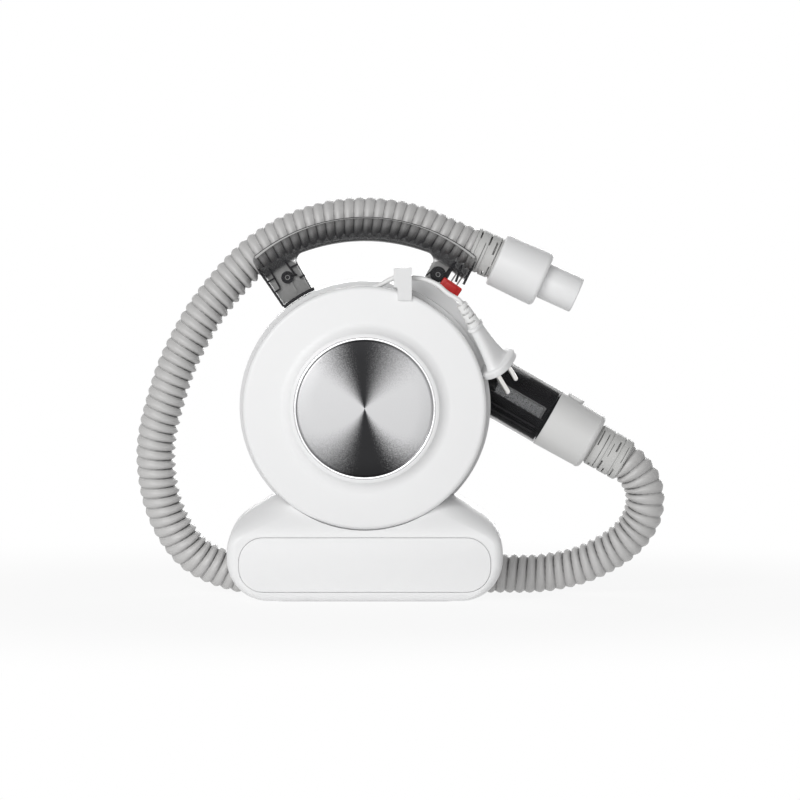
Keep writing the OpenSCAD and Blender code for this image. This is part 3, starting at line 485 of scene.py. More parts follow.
FINISHES = (
    Moulded(Slot.WHITE, (0.830, 0.832, 0.835), 0.42, grain=0.003, coat=0.06, unevenness=0.006, gloss=0.4),
    Moulded(Slot.GREY, (0.66, 0.66, 0.655), 0.42),
    Moulded(Slot.RUBBER, (0.030, 0.030, 0.032), 0.75, grain=0.02, cells=1800.0, gloss=0.3),
    Metal(Slot.STEEL, (0.60, 0.61, 0.62), 0.32),
    CircuitBoard(),
    SpunSteel(),
    Metal(Slot.TRIM, (0.90, 0.90, 0.91), 0.09, grain=0.0004),
    Moulded(Slot.BLACK, (0.014, 0.014, 0.016), 0.45, grain=0.004, gloss=0.2),
    Foam(),
    Smoked(),
    Metal(Slot.FINS, (0.74, 0.75, 0.76), 0.28),
    Moulded(Slot.CUFF, (0.55, 0.55, 0.54), 0.5, grain=0.004),
    RibbedHose(),
    Moulded(Slot.FRAME, (0.40, 0.40, 0.395), 0.5),
    Metal(Slot.DARK_STEEL, (0.035, 0.035, 0.038), 0.40),
    Moulded(Slot.RED, (0.50, 0.014, 0.012), 0.30, grain=0.001, gloss=0.25),
    Moulded(Slot.CORD, (0.80, 0.80, 0.795), 0.38, grain=0.004),
    Metal(Slot.NICKEL, (0.78, 0.77, 0.75), 0.16, grain=0.0006),
)


class Paint:
    """The finished materials, one for each slot."""

    def __init__(self) -> None:
        """Builds every finish once."""
        self.by_slot = {finish.slot: finish.make() for finish in FINISHES}

    def __getitem__(self, slot: Slot) -> bpy.types.Material:
        """The material of a slot."""
        return self.by_slot[slot]


# ------------------------------------------------------------------------------------------------ shapes


@dataclass
class Shape:
    """Points in millimetres and the faces between them, gathered ring by ring."""

    points: list[Vector] = field(default_factory=list)
    faces: list[tuple[int, ...]] = field(default_factory=list)

    def ring(self, points: Iterable[Sequence[float]]) -> list[int]:
        """Adds points and returns their numbers."""
        start = len(self.points)
        self.points.extend(Vector(p) for p in points)
        return list(range(start, len(self.points)))

    def bridge(self, a: Sequence[int], b: Sequence[int]) -> None:
        """Joins two closed rings of the same length with four-sided faces."""
        for i in range(len(a)):
            j = (i + 1) % len(a)
            self.faces.append((a[i], a[j], b[j], b[i]))

    def loft(self, rings: Sequence[Iterable[Sequence[float]]]) -> "Shape":
        """Joins rings in order and closes both ends.

        Args:
            rings: Rings with the same number of points.

        Returns:
            This shape.
        """
        made = [self.ring(r) for r in rings]
        for a, b in zip(made, made[1:]):
            self.bridge(a, b)
        self.faces += [tuple(reversed(made[0])), tuple(made[-1])]
        return self

    def lathe(self, outline: Sequence[Point2], segments: int, about: Matrix) -> "Shape":
        """Turns a closed outline of (radius, height) round local Z.

        Args:
            outline: The section's corners in order.
            segments: Number of steps round the axis.
            about: Puts local Z on the real axis.

        Returns:
            This shape.
        """
        rings = []
        for i in range(segments):
            angle = 2 * math.pi * i / segments
            c, s = math.cos(angle), math.sin(angle)
            rings.append(self.ring(about @ Vector((r * c, r * s, h)) for r, h in outline))
        for i, ring in enumerate(rings):
            self.bridge(ring, rings[(i + 1) % segments])
        return self

    def prism(self, outline: Sequence[Point2], low: float, high: float, about: Matrix, edge: float = 0.0) -> "Shape":
        """Raises an outline along local Z, with rounded rims.

        Args:
            outline: Corners in order, round the origin or not.
            low: Height of the lower end.
            high: Height of the upper end.
            about: Puts local Z on the real axis.
            edge: Radius of the rounded rims.

        Returns:
            This shape.
        """
        steps = 4 if edge else 0
        levels = [(low, 0.0), (high, 0.0)]
        if edge:
            turn = [math.pi / 2 * k / steps for k in range(steps + 1)]
            levels = [(low + edge * (1 - math.sin(a)), edge * (1 - math.cos(a))) for a in reversed(turn)]
            levels += [(high - edge * (1 - math.sin(a)), edge * (1 - math.cos(a))) for a in turn]
        rings = [[about @ Vector((x, y, h)) for x, y in inset(outline, d)] for h, d in levels]
        return self.loft(rings)


def inset(outline: Sequence[Point2], distance: float) -> list[Point2]:
    """Moves each corner of an anticlockwise outline inwards along its own normal."""
    if not distance:
        return list(outline)
    moved = []
    count = len(outline)
    for i, (x, y) in enumerate(outline):
        ax, ay = outline[i - 1]
        bx, by = outline[(i + 1) % count]
        normal = Vector((-(by - ay), bx - ax))
        normal.normalize()
        moved.append((x + normal.x * distance, y + normal.y * distance))
    return moved


def rounded(corners: Sequence[tuple[float, float, float]], steps: int = 5) -> list[Point2]:
    """A closed outline with rounded corners.

    Args:
        corners: x, y and corner radius of each corner in order.
        steps: Number of steps in each rounded corner.

    Returns:
        The outline's points.
    """
    result: list[Point2] = []
    count = len(corners)
    for i, (x, y, radius) in enumerate(corners):
        here = Vector((x, y))
        before = Vector(corners[i - 1][:2]) - here
        after = Vector(corners[(i + 1) % count][:2]) - here
        if radius <= 0 or before.length < 1e-9 or after.length < 1e-9:
            result.append((x, y))
            continue
        half = before.angle(after) / 2
        if half > math.pi / 2 - 0.01:
            result.append((x, y))
            continue
        reach = min(radius / math.tan(half), 0.49 * before.length, 0.49 * after.length)
        radius = reach * math.tan(half)
        middle = here + (before.normalized() + after.normalized()).normalized() * (radius / math.sin(half))
        first = here + before.normalized() * reach - middle
        last = here + after.normalized() * reach - middle
        turn = first.angle_signed(last)
        for k in range(steps + 1):
            spot = first.copy()
            spot.rotate(Matrix.Rotation(-turn * k / steps, 2))
            result.append((middle.x + spot.x, middle.y + spot.y))
    return result


def box(left: float, low: float, right: float, high: float, corner: float, steps: int) -> list[Point2]:
    """An anticlockwise rectangle with equal rounded corners."""
    return rounded([(left, low, corner), (right, low, corner), (right, high, corner), (left, high, corner)], steps)


def oval(width: float, height: float, corner: float, steps: int = 6) -> list[Point2]:
    """An anticlockwise rounded rectangle round the origin."""
    return box(-width / 2, -height / 2, width / 2, height / 2, corner, steps)


def arc(centre: Point2, radius: float, start: float, end: float, steps: int) -> list[Point2]:
    """Points of an arc, with its angles in degrees."""
    turns = [math.radians(start + (end - start) * i / steps) for i in range(steps + 1)]
    return [(centre[0] + radius * math.cos(a), centre[1] + radius * math.sin(a)) for a in turns]


def ease(share: float) -> float:
    """A smooth step from 0 to 1."""
    share = min(max(share, 0.0), 1.0)
    return share * share * (3 - 2 * share)


def circle(radius: float, steps: int) -> list[Point2]:
    """A circle round the origin."""
    return arc((0, 0), radius, 0, 360, steps)[:-1]


def squircle(a: float, b: float, power: float, steps: int = 48) -> list[Point2]:
    """A superellipse round the origin, with half widths a and b."""
    points = []
    for k in range(steps):
        turn = 2 * math.pi * k / steps
        c, s = math.cos(turn), math.sin(turn)
        points.append((a * math.copysign(abs(c) ** (2 / power), c), b * math.copysign(abs(s) ** (2 / power), s)))
    return points


def smooth_path(points: Sequence[Vector], steps: int = 10) -> list[Vector]:
    """A Catmull-Rom curve through the points."""
    path = []
    for i in range(len(points) - 1):
        a, b = points[max(i - 1, 0)], points[i]
        c, d = points[i + 1], points[min(i + 2, len(points) - 1)]
        for k in range(steps):
            u = k / steps
            path.append(
                0.5 * (2 * b + (c - a) * u + (2 * a - 5 * b + 4 * c - d) * u * u + (3 * b - a - 3 * c + d) * u**3)
            )
    return path + [points[-1]]


def spaced(path: Sequence[Vector], count: int) -> list[Vector]:
    """count + 1 evenly spaced points along a path."""
    run = [0.0]
    for a, b in zip(path, path[1:]):
        run.append(run[-1] + (b - a).length)
    result, i = [], 0
    for k in range(count + 1):
        want = run[-1] * k / count
        while i < len(run) - 2 and run[i + 1] < want:
            i += 1
        share = (want - run[i]) / max(run[i + 1] - run[i], 1e-12)
        result.append(path[i].lerp(path[i + 1], min(share, 1.0)))
    return result


def path_length(path: Sequence[Vector]) -> float:
    """The length of a path."""
    return sum((b - a).length for a, b in zip(path, path[1:]))


def tube(path: Sequence[Vector], section: Callable[[float], Sequence[Point2]], up: Vector) -> Shape:
    """A solid tube along a path.

    Args:
        path: Centre points.
        section: Gives the outline of the section at a share of the length between 0 and 1.
        up: Direction that the section's first axis is square to.

    Returns:
        The tube's shape.
    """
    rings = []
    for i, point in enumerate(path):
        along = (path[min(i + 1, len(path) - 1)] - path[max(i - 1, 0)]).normalized()
        side = up.cross(along).normalized()
        top = along.cross(side)
        rings.append([point + side * x + top * y for x, y in section(i / (len(path) - 1))])
    return Shape().loft(rings)


# ------------------------------------------------------------------------------------------------ pieces


def placed(name: str, data: bpy.types.ID) -> bpy.types.Object:
    """Links new data to the scene as an object at the origin."""
    piece = bpy.data.objects.new(name, data)
    bpy.context.scene.collection.objects.link(piece)
    return piece


def baked(piece: bpy.types.Object) -> bpy.types.Mesh:
    """The mesh of an object with its modifiers applied."""
    bpy.context.view_layer.update()
    graph = bpy.context.evaluated_depsgraph_get()
    return bpy.data.meshes.new_from_object(piece.evaluated_get(graph), depsgraph=graph)


def to_object(name: str, mesh: bpy.types.Mesh, angle: float) -> bpy.types.Object:
    """Links a mesh as an object at the origin, smooth except at sharp edges."""
    mesh.shade_smooth()
    mesh.set_sharp_from_angle(angle=math.radians(angle))
    return placed(name, mesh)


def from_shape(name: str, shape: Shape, angle: float = 34.0) -> bpy.types.Object:
    """Makes an object of a shape, with its doubles merged and its faces pointing outwards."""
    bm = bmesh.new()
    made = [bm.verts.new(p * MM) for p in shape.points]
    for numbers in shape.faces:
        corners = [made[n] for n in numbers]
        if len(set(corners)) > 2:
            try:
                bm.faces.new(corners)
            except ValueError:
                continue
    bmesh.ops.remove_doubles(bm, verts=bm.verts, dist=1e-7)
    bmesh.ops.dissolve_degenerate(bm, edges=bm.edges, dist=1e-8)
    bmesh.ops.recalc_face_normals(bm, faces=bm.faces)
    mesh = bpy.data.meshes.new(name)
    bm.to_mesh(mesh)
    bm.free()
    return to_object(name, mesh, angle)


def from_node(name: str, node: str, bevel: float = 0.4, angle: float = 34.0) -> bpy.types.Object:
    """Makes a finer piece of a CAD node: merged faces, softened edges and even shading.

    Args:
        name: The new piece's name.
        node: The CAD node that it copies.
        bevel: Width of the softened edges.
        angle: Edges sharper than this are softened.

    Returns:
        The new piece.
    """
    bm = bmesh.new()
    bm.from_mesh(frame["nodes"][node].data)
    bmesh.ops.remove_doubles(bm, verts=bm.verts, dist=2e-6)
    bmesh.ops.dissolve_degenerate(bm, edges=bm.edges, dist=1e-7)
    bmesh.ops.dissolve_limit(bm, angle_limit=math.radians(0.4), verts=bm.verts, edges=bm.edges)
    mesh = bpy.data.meshes.new(name)
    bm.to_mesh(mesh)
    bm.free()
    piece = to_object(name, mesh, angle)
    if bevel:
        soften(piece, bevel, angle)
    return piece


def soften(piece: bpy.types.Object, width: float, angle: float = 34.0) -> None:
    """Gives a piece softened edges that keep its faces flat."""
    edge = piece.modifiers.new("edge", "BEVEL")
    edge.width = width * MM
    edge.segments = 2
    edge.limit_method = "ANGLE"
    edge.angle_limit = math.radians(angle)
    edge.use_clamp_overlap = True
    even = piece.modifiers.new("even", "WEIGHTED_NORMAL")
    even.keep_sharp = True


def carve(piece: bpy.types.Object, shape: Shape) -> None:
    """Takes a shape out of a piece for good."""
    tool = from_shape("tool", shape)
    cut = piece.modifiers.new("cut", "BOOLEAN")
    cut.operation, cut.solver, cut.object = "DIFFERENCE", "EXACT", tool
    old, mesh = piece.data, baked(piece)
    piece.modifiers.remove(cut)
    piece.data = mesh
    mesh.name = piece.name
    bpy.data.meshes.remove(old)
    bpy.data.objects.remove(tool)
    mesh.set_sharp_from_angle(angle=math.radians(40))


def dull(piece: bpy.types.Object, amount: float) -> bpy.types.Object:
    """Paints shade on a moulded piece: stores a share by which its colour is darkened, standing in for the shade it
    sits in.
    """
    layer = piece.data.attributes.new("dull", "FLOAT", "POINT")
    for spot in layer.data:
        spot.value = amount
    return piece


class Workshop:
    """Dresses pieces and ties them to the frame."""

    def __init__(self, paint: Paint) -> None:
        """Keeps the finishes.

        Args:
            paint: The finished materials.
        """
        self.paint = paint

    def dress(
        self, piece: bpy.types.Object, slot: Slot, body: Body = Body.DRYER, stands_for: Sequence[str] = ()
    ) -> bpy.types.Object:
        """Gives a piece its finish, its slot and its body.

        Args:
            piece: The piece, in place.
            slot: The material slot that it takes its finish from.
            body: The CAD body that it moves with.
            stands_for: CAD nodes that it is shown in place of.

        Returns:
            The piece.
        """
        piece.data.materials.clear()
        piece.data.materials.append(self.paint[slot])
        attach(piece, body.value)
        if stands_for:
            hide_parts(*stands_for)
        LOG.info("%s: %d faces, on %s", piece.name, len(piece.data.polygons), body.value)
        return piece

    def copy(
        self, name: str, node: str, slot: Slot, bevel: float, body: Body = Body.DRYER, angle: float = 34.0
    ) -> bpy.types.Object:
        """Dresses a finer copy of a CAD node, which is shown in the node's place."""
        return self.dress(from_node(name, node, bevel, angle), slot, body, [node])

    def dress_nodes(self) -> None:
        """Gives every CAD node the finish of its slot."""
        for row in frame["record"]["subparts"]:
            node = frame["nodes"][row["node"]]
            node.data.materials.clear()
            node.data.materials.append(self.paint[Slot(row["material_slot"])])


# ------------------------------------------------------------------------------------------------ repeats


class Repeat:
    """A Geometry Nodes tree that is built in the script and turned into a plain mesh."""

    def __init__(self, name: str, inputs: dict[str, str]) -> None:
        """Makes a tree with named inputs.

        Args:
            name: The tree's name.
            inputs: Socket type of each input, by name.
        """
        self.tree = bpy.data.node_groups.new(name, "GeometryNodeTree")
        face = self.tree.interface
        face.new_socket("Geometry", in_out="OUTPUT", socket_type="NodeSocketGeometry")
        face.new_socket("Geometry", in_out="INPUT", socket_type="NodeSocketGeometry")
        self.ids = {
            key: face.new_socket(key, in_out="INPUT", socket_type=kind).identifier for key, kind in inputs.items()
        }
        self.entry = self.tree.nodes.new("NodeGroupInput")

    def given(self, key: str) -> bpy.types.NodeSocket:
        """The socket of a named input."""
        return self.entry.outputs[key]

    def add(self, kind: str, settings: dict | None = None, sockets: dict | None = None) -> bpy.types.Node:
        """Adds a node.

        Args:
            kind: The node's type.
            settings: Attributes of the node, set first.
            sockets: Values or sockets that its inputs take, by name or index.

        Returns:
            The node.
        """
        node = self.tree.nodes.new(kind)
        for key, value in (settings or {}).items():
            setattr(node, key, value)
        for key, value in (sockets or {}).items():
            if isinstance(value, bpy.types.NodeSocket):
                self.tree.links.new(value, node.inputs[key])
            else:
                node.inputs[key].default_value = value
        return node

    def math(self, operation: str, *values: "bpy.types.NodeSocket | float") -> bpy.types.NodeSocket:
        """Adds a Math node on these values and returns its result."""
        return self.add("ShaderNodeMath", {"operation": operation}, dict(enumerate(values))).outputs[0]

    def vector(
        self, operation: str, *values: bpy.types.NodeSocket, **more: bpy.types.NodeSocket
    ) -> bpy.types.NodeSocket:
        """Adds a Vector Math node on these values and returns its result, a number for a dot product."""
        node = self.add("ShaderNodeVectorMath", {"operation": operation}, {**dict(enumerate(values)), **more})
        return node.outputs["Value" if operation == "DOT_PRODUCT" else "Vector"]

    def keep(
        self, geometry: bpy.types.NodeSocket, name: str, value: bpy.types.NodeSocket
    ) -> bpy.types.NodeSocket:
        """Stores a value on the points under a name, and returns the geometry."""
        kind = "FLOAT_VECTOR" if value.type == "VECTOR" else "FLOAT"
        node = self.add(
            "GeometryNodeStoreNamedAttribute",
            {"data_type": kind, "domain": "POINT"},
            {"Geometry": geometry, "Name": name, "Value": value},
        )
        return node.outputs[0]

    def kept(self, name: str, kind: str = "FLOAT") -> bpy.types.NodeSocket:
        """Reads a value that was stored under a name."""
        node = self.add("GeometryNodeInputNamedAttribute", {"data_type": kind}, {"Name": name})
        return node.outputs["Attribute"]

    def close(self, geometry: bpy.types.NodeSocket) -> None:
        """Ends the tree in Realize Instances and Set Material."""
        real = self.add("GeometryNodeRealizeInstances", sockets={"Geometry": geometry})
        dressed = self.add(
            "GeometryNodeSetMaterial", sockets={"Geometry": real.outputs[0], "Material": self.given("Finish")}
        )
        out = self.tree.nodes.new("NodeGroupOutput")
        self.tree.links.new(dressed.outputs[0], out.inputs[0])

    def make(self, name: str, base: bpy.types.Object, angle: float = 34.0, **values: object) -> bpy.types.Object:
        """Runs the tree on an object and keeps the result as a plain mesh.

        Args:
            name: The piece's name.
            base: The object that the tree starts from; it is removed.
            angle: Edges sharper than this stay sharp.
            **values: Values of the named inputs, with underscores for spaces.

        Returns:
            The plain piece.
        """
        modifier = base.modifiers.new("repeat", "NODES")
        modifier.node_group = self.tree
        for key, value in values.items():
            modifier[self.ids[key.replace("_", " ")]] = value
        mesh = baked(base)
        mesh.name = name
        base.modifiers.remove(modifier)
        bpy.data.objects.remove(base)
        return to_object(name, mesh, angle)


def base_points(points: Sequence[Vector]) -> bpy.types.Object:
    """An object that is only points, in millimetres."""
    mesh = bpy.data.meshes.new("places")
    mesh.from_pydata([tuple(p * MM) for p in points], [], [])
    return placed("places", mesh)


def base_curve(path: Sequence[Vector]) -> bpy.types.Object:
    """A poly curve along a path in millimetres."""
    curve = bpy.data.curves.new("route", "CURVE")
    curve.dimensions = "3D"
    curve.twist_mode = "MINIMUM"
    line = curve.splines.new("POLY")
    line.points.add(len(path) - 1)
    for spot, p in zip(line.points, path):
        spot.co = (p.x * MM, p.y * MM, p.z * MM, 1.0)
    return placed("route", curve)


def ribbed_tube_tree() -> Repeat:
    """The tree of a ribbed hose: a curve that is swept, with one rib wound round it like a thread."""
    t = Repeat(
        "ribbed_tube",
        {
            "Ribs": "NodeSocketInt",
            "Rings": "NodeSocketInt",
            "Radius": "NodeSocketFloat",
            "Depth": "NodeSocketFloat",
            "Squeeze": "NodeSocketFloat",
            "Hub": "NodeSocketVector",
            "Sides": "NodeSocketInt",
            "Finish": "NodeSocketMaterial",
        },
    )
    count = t.math("ADD", t.math("MULTIPLY", t.given("Ribs"), t.given("Rings")), 1.0)
    line = t.add("GeometryNodeResampleCurve", sockets={"Curve": t.given("Geometry"), "Count": count})
    factor = t.add("GeometryNodeSplineParameter").outputs["Factor"]
    place = t.add("GeometryNodeInputPosition").outputs[0]
    rail = t.keep(t.keep(line.outputs[0], "along", factor), "middle", place)
    circle = t.add("GeometryNodeCurvePrimitiveCircle", sockets={"Resolution": t.given("Sides"), "Radius": 1.0})
    profile = t.keep(circle.outputs[0], "around", factor)
    tube = t.add(
        "GeometryNodeCurveToMesh",
        sockets={"Curve": rail, "Profile Curve": profile, "Scale": t.given("Radius"), "Fill Caps": True},
    )
    wound = t.math("ADD", t.math("MULTIPLY", t.kept("along"), t.given("Ribs")), t.kept("around"))
    lean = t.math("POWER", t.math("FRACT", wound), 0.78)
    off = t.math("ABSOLUTE", t.math("SUBTRACT", t.math("MULTIPLY", lean, 2.0), 1.0))
    sink = t.math("POWER", off, 1.75)
    middle = t.kept("middle", "FLOAT_VECTOR")
    spoke = t.vector("SUBTRACT", place, middle)
    to_hub = t.vector("SUBTRACT", t.given("Hub"), middle)
    inward = t.vector("DOT_PRODUCT", t.vector("NORMALIZE", spoke), t.vector("NORMALIZE", to_hub))
    squeezed = t.math("ADD", t.math("MULTIPLY", inward, t.given("Squeeze")), 1.0)
    depth = t.math("MULTIPLY", t.math("MULTIPLY", squeezed, t.given("Depth")), sink)
    share = t.math("DIVIDE", t.math("MULTIPLY", depth, -1.0), t.given("Radius"))
    offset = t.vector("SCALE", spoke, Scale=share)
    moved = t.add("GeometryNodeSetPosition", sockets={"Geometry": tube.outputs[0], "Offset": offset})
    turn = t.math("MULTIPLY", wound, math.tau)
    phase = t.add(
        "ShaderNodeCombineXYZ", sockets={"X": t.math("COSINE", turn), "Y": t.math("SINE", turn), "Z": sink}
    )
    t.close(t.keep(t.keep(moved.outputs[0], "rib", phase.outputs[0]), "inner", inward))
    return t


def row_tree() -> Repeat:
    """The tree of a row: a piece that is set on each point and turned about the Y axis, step by step."""
    t = Repeat(
        "row",
        {
            "Piece": "NodeSocketObject",
            "First turn": "NodeSocketFloat",
            "Turn": "NodeSocketFloat",
            "Play": "NodeSocketFloat",
            "Finish": "NodeSocketMaterial",
        },
    )
    piece = t.add("GeometryNodeObjectInfo", {"transform_space": "ORIGINAL"}, {"Object": t.given("Piece")})
    index = t.add("GeometryNodeInputIndex").outputs[0]
    play = t.add("FunctionNodeRandomValue", {"data_type": "FLOAT"}, {"Seed": 7})
    chance = t.math("MULTIPLY", t.math("SUBTRACT", play.outputs[1], 0.5), t.given("Play"))
    steps = t.math("ADD", t.given("First turn"), t.math("MULTIPLY", index, t.given("Turn")))
    turned = t.add("ShaderNodeCombineXYZ", sockets={"Y": t.math("ADD", steps, chance)})
    spread = t.add(
        "GeometryNodeInstanceOnPoints",
        sockets={
            "Points": t.given("Geometry"),
            "Instance": piece.outputs["Geometry"],
            "Rotation": turned.outputs[0],
        },
    )
    t.close(spread.outputs[0])
    return t


def in_row(
    row: Repeat,
    name: str,
    piece: bpy.types.Object,
    places: Sequence[Vector],
    finish: bpy.types.Material,
    **turns: float,
) -> bpy.types.Object:
    """Sets a piece on each of some places.

    Args:
        row: The tree of a row.
        name: The name of what is made.
        piece: The piece that is repeated; it is removed.
        places: Where it is set, in millimetres.
        finish: Its material.
        **turns: First_turn, Turn and Play, in radians.

    Returns:
        The row as one plain piece.
    """
    made = row.make(name, base_points(places), Piece=piece, Finish=finish, **turns)
    bpy.data.objects.remove(piece)
    return made


# ------------------------------------------------------------------------------------------------ sub-assemblies


def about_y(x: float, z: float) -> Matrix:
    """Puts local Z along +Y, on the axis through x and z."""
    return Matrix.Translation((x, 0, z)) @ Matrix.Rotation(math.radians(-90), 4, "X")


@dataclass
class Sloping:
    """A sub-assembly along an axis that starts at x, y and z and slopes down to the right."""

    x: float
    y: float
    z: float
    slope: float

    def about(self) -> Matrix:
        """Puts local Z along the axis, from its start."""
        return Matrix.Translation((self.x, self.y, self.z)) @ Matrix.Rotation(math.radians(90 + self.slope), 4, "Y")

    def at(self, t: float) -> Vector:
        """The point t along the axis."""
        return self.about() @ Vector((0, 0, t))


@dataclass
class Foot:
    """The wide foot with its flush front panel, plate, sole and control board."""

    front: float = -47.0
    panel_l: float = 195.0
    panel_h: float = 42.0
    panel_r: float = 18.8
    panel_z: float = 28.7
    panel_t: float = 2.0
    back: float = 29.0
    edge: float = 7.5
    cradle_z: float = 150.0
    discs: tuple[tuple[float, float, float], ...] = ((74.0, 33.0, 33.0), (69.5, 37.5, 37.5), (42.0, 86.8, 9.0))

    def build(self, shop: Workshop) -> None:
        """Builds the shell and the panel."""
        shop.dress(self.body(), Slot.WHITE, stands_for=["foot_shell"])
        outline = [(x, -z) for x, z in oval(self.panel_l, self.panel_h, self.panel_r, 10)]
        face = Shape().prism(
            list(reversed(outline)), self.front - 0.5, self.front + self.panel_t - 0.65, about_y(0, self.panel_z), 0.45
        )
        shop.dress(from_shape("front_inlay", face), Slot.WHITE, stands_for=["foot_panel"])

    def half_width(self, z: float) -> float:
        """Half the foot's width at a height: the line round its corner discs."""
        best = math.inf
        for k in range(-44, 45):
            c, t = math.cos(math.radians(2 * k)), math.sin(math.radians(2 * k))
            best = min(best, (max(x * c + h * t + r for x, h, r in self.discs) - z * t) / c)
        return best

    def section(self, z: float) -> list[Vector]:
        """The foot's outline at a height, with wide soft front corners at the neck."""
        w = self.half_width(z)
        low = max(self.edge - z, 0.0)
        low = self.edge - math.sqrt(self.edge**2 - low**2)
        neck = ease((z - 49.5) / 40)
        front, back = self.front + low + 17.0 * neck, self.back - low
        reach, deep = self.edge + 28.0 * ease((z - 44) / 26), self.edge + 15.0 * ease((z - 44) / 30)
        points = []
        for sx, turn in ((-1, 180), (1, 270)):
            for k in range(15):
                a = math.radians(turn + 6 * k + 3)
                points.append(Vector((sx * (w - reach) + reach * math.cos(a), front + deep + deep * math.sin(a), z)))
        for sx, turn in ((1, 0), (-1, 90)):
            for k in range(8):
                a = math.radians(turn + 90 * k / 7)
                x = sx * (w - self.edge) + self.edge * math.cos(a)
                points.append(Vector((x, back - self.edge + self.edge * math.sin(a), z)))
        return points

    def body(self) -> bpy.types.Object:
        """Lofts the shell, then cuts the drum's seat, the panel's recess and the inside."""
        levels = [0.45 + 10.55 * (k / 12) ** 1.5 for k in range(12)] + [11 + 2.2 * k for k in range(39)]
        body = from_shape("foot_body", Shape().loft([self.section(z) for z in levels]), 40.0)
        recess = [(x, -z) for x, z in oval(self.panel_l + 0.7, self.panel_h + 0.7, self.panel_r + 0.35, 10)]
        about, inside = about_y(0, self.cradle_z), about_y(0, 0)
        cuts = (
            Shape().prism(circle(94.8, 160), -70.0, -15.2, about),
            Shape().prism(circle(97.7, 160), -15.3, 60.0, about),
            Shape().prism(recess, -60.0, self.front + self.panel_t - 0.45, about_y(0, self.panel_z)),
            Shape().prism([(-72, 5), (72, 5), (72, -32), (-72, -32)], -33.5, 15.5, inside),
            Shape().prism([(-78.2, 5), (78.2, 5), (78.2, -3.8), (-78.2, -3.8)], -39.7, 21.7, inside),
        )
        for shape in cuts:
            carve(body, shape)
        soften(body, 0.25, 50.0)
        return body


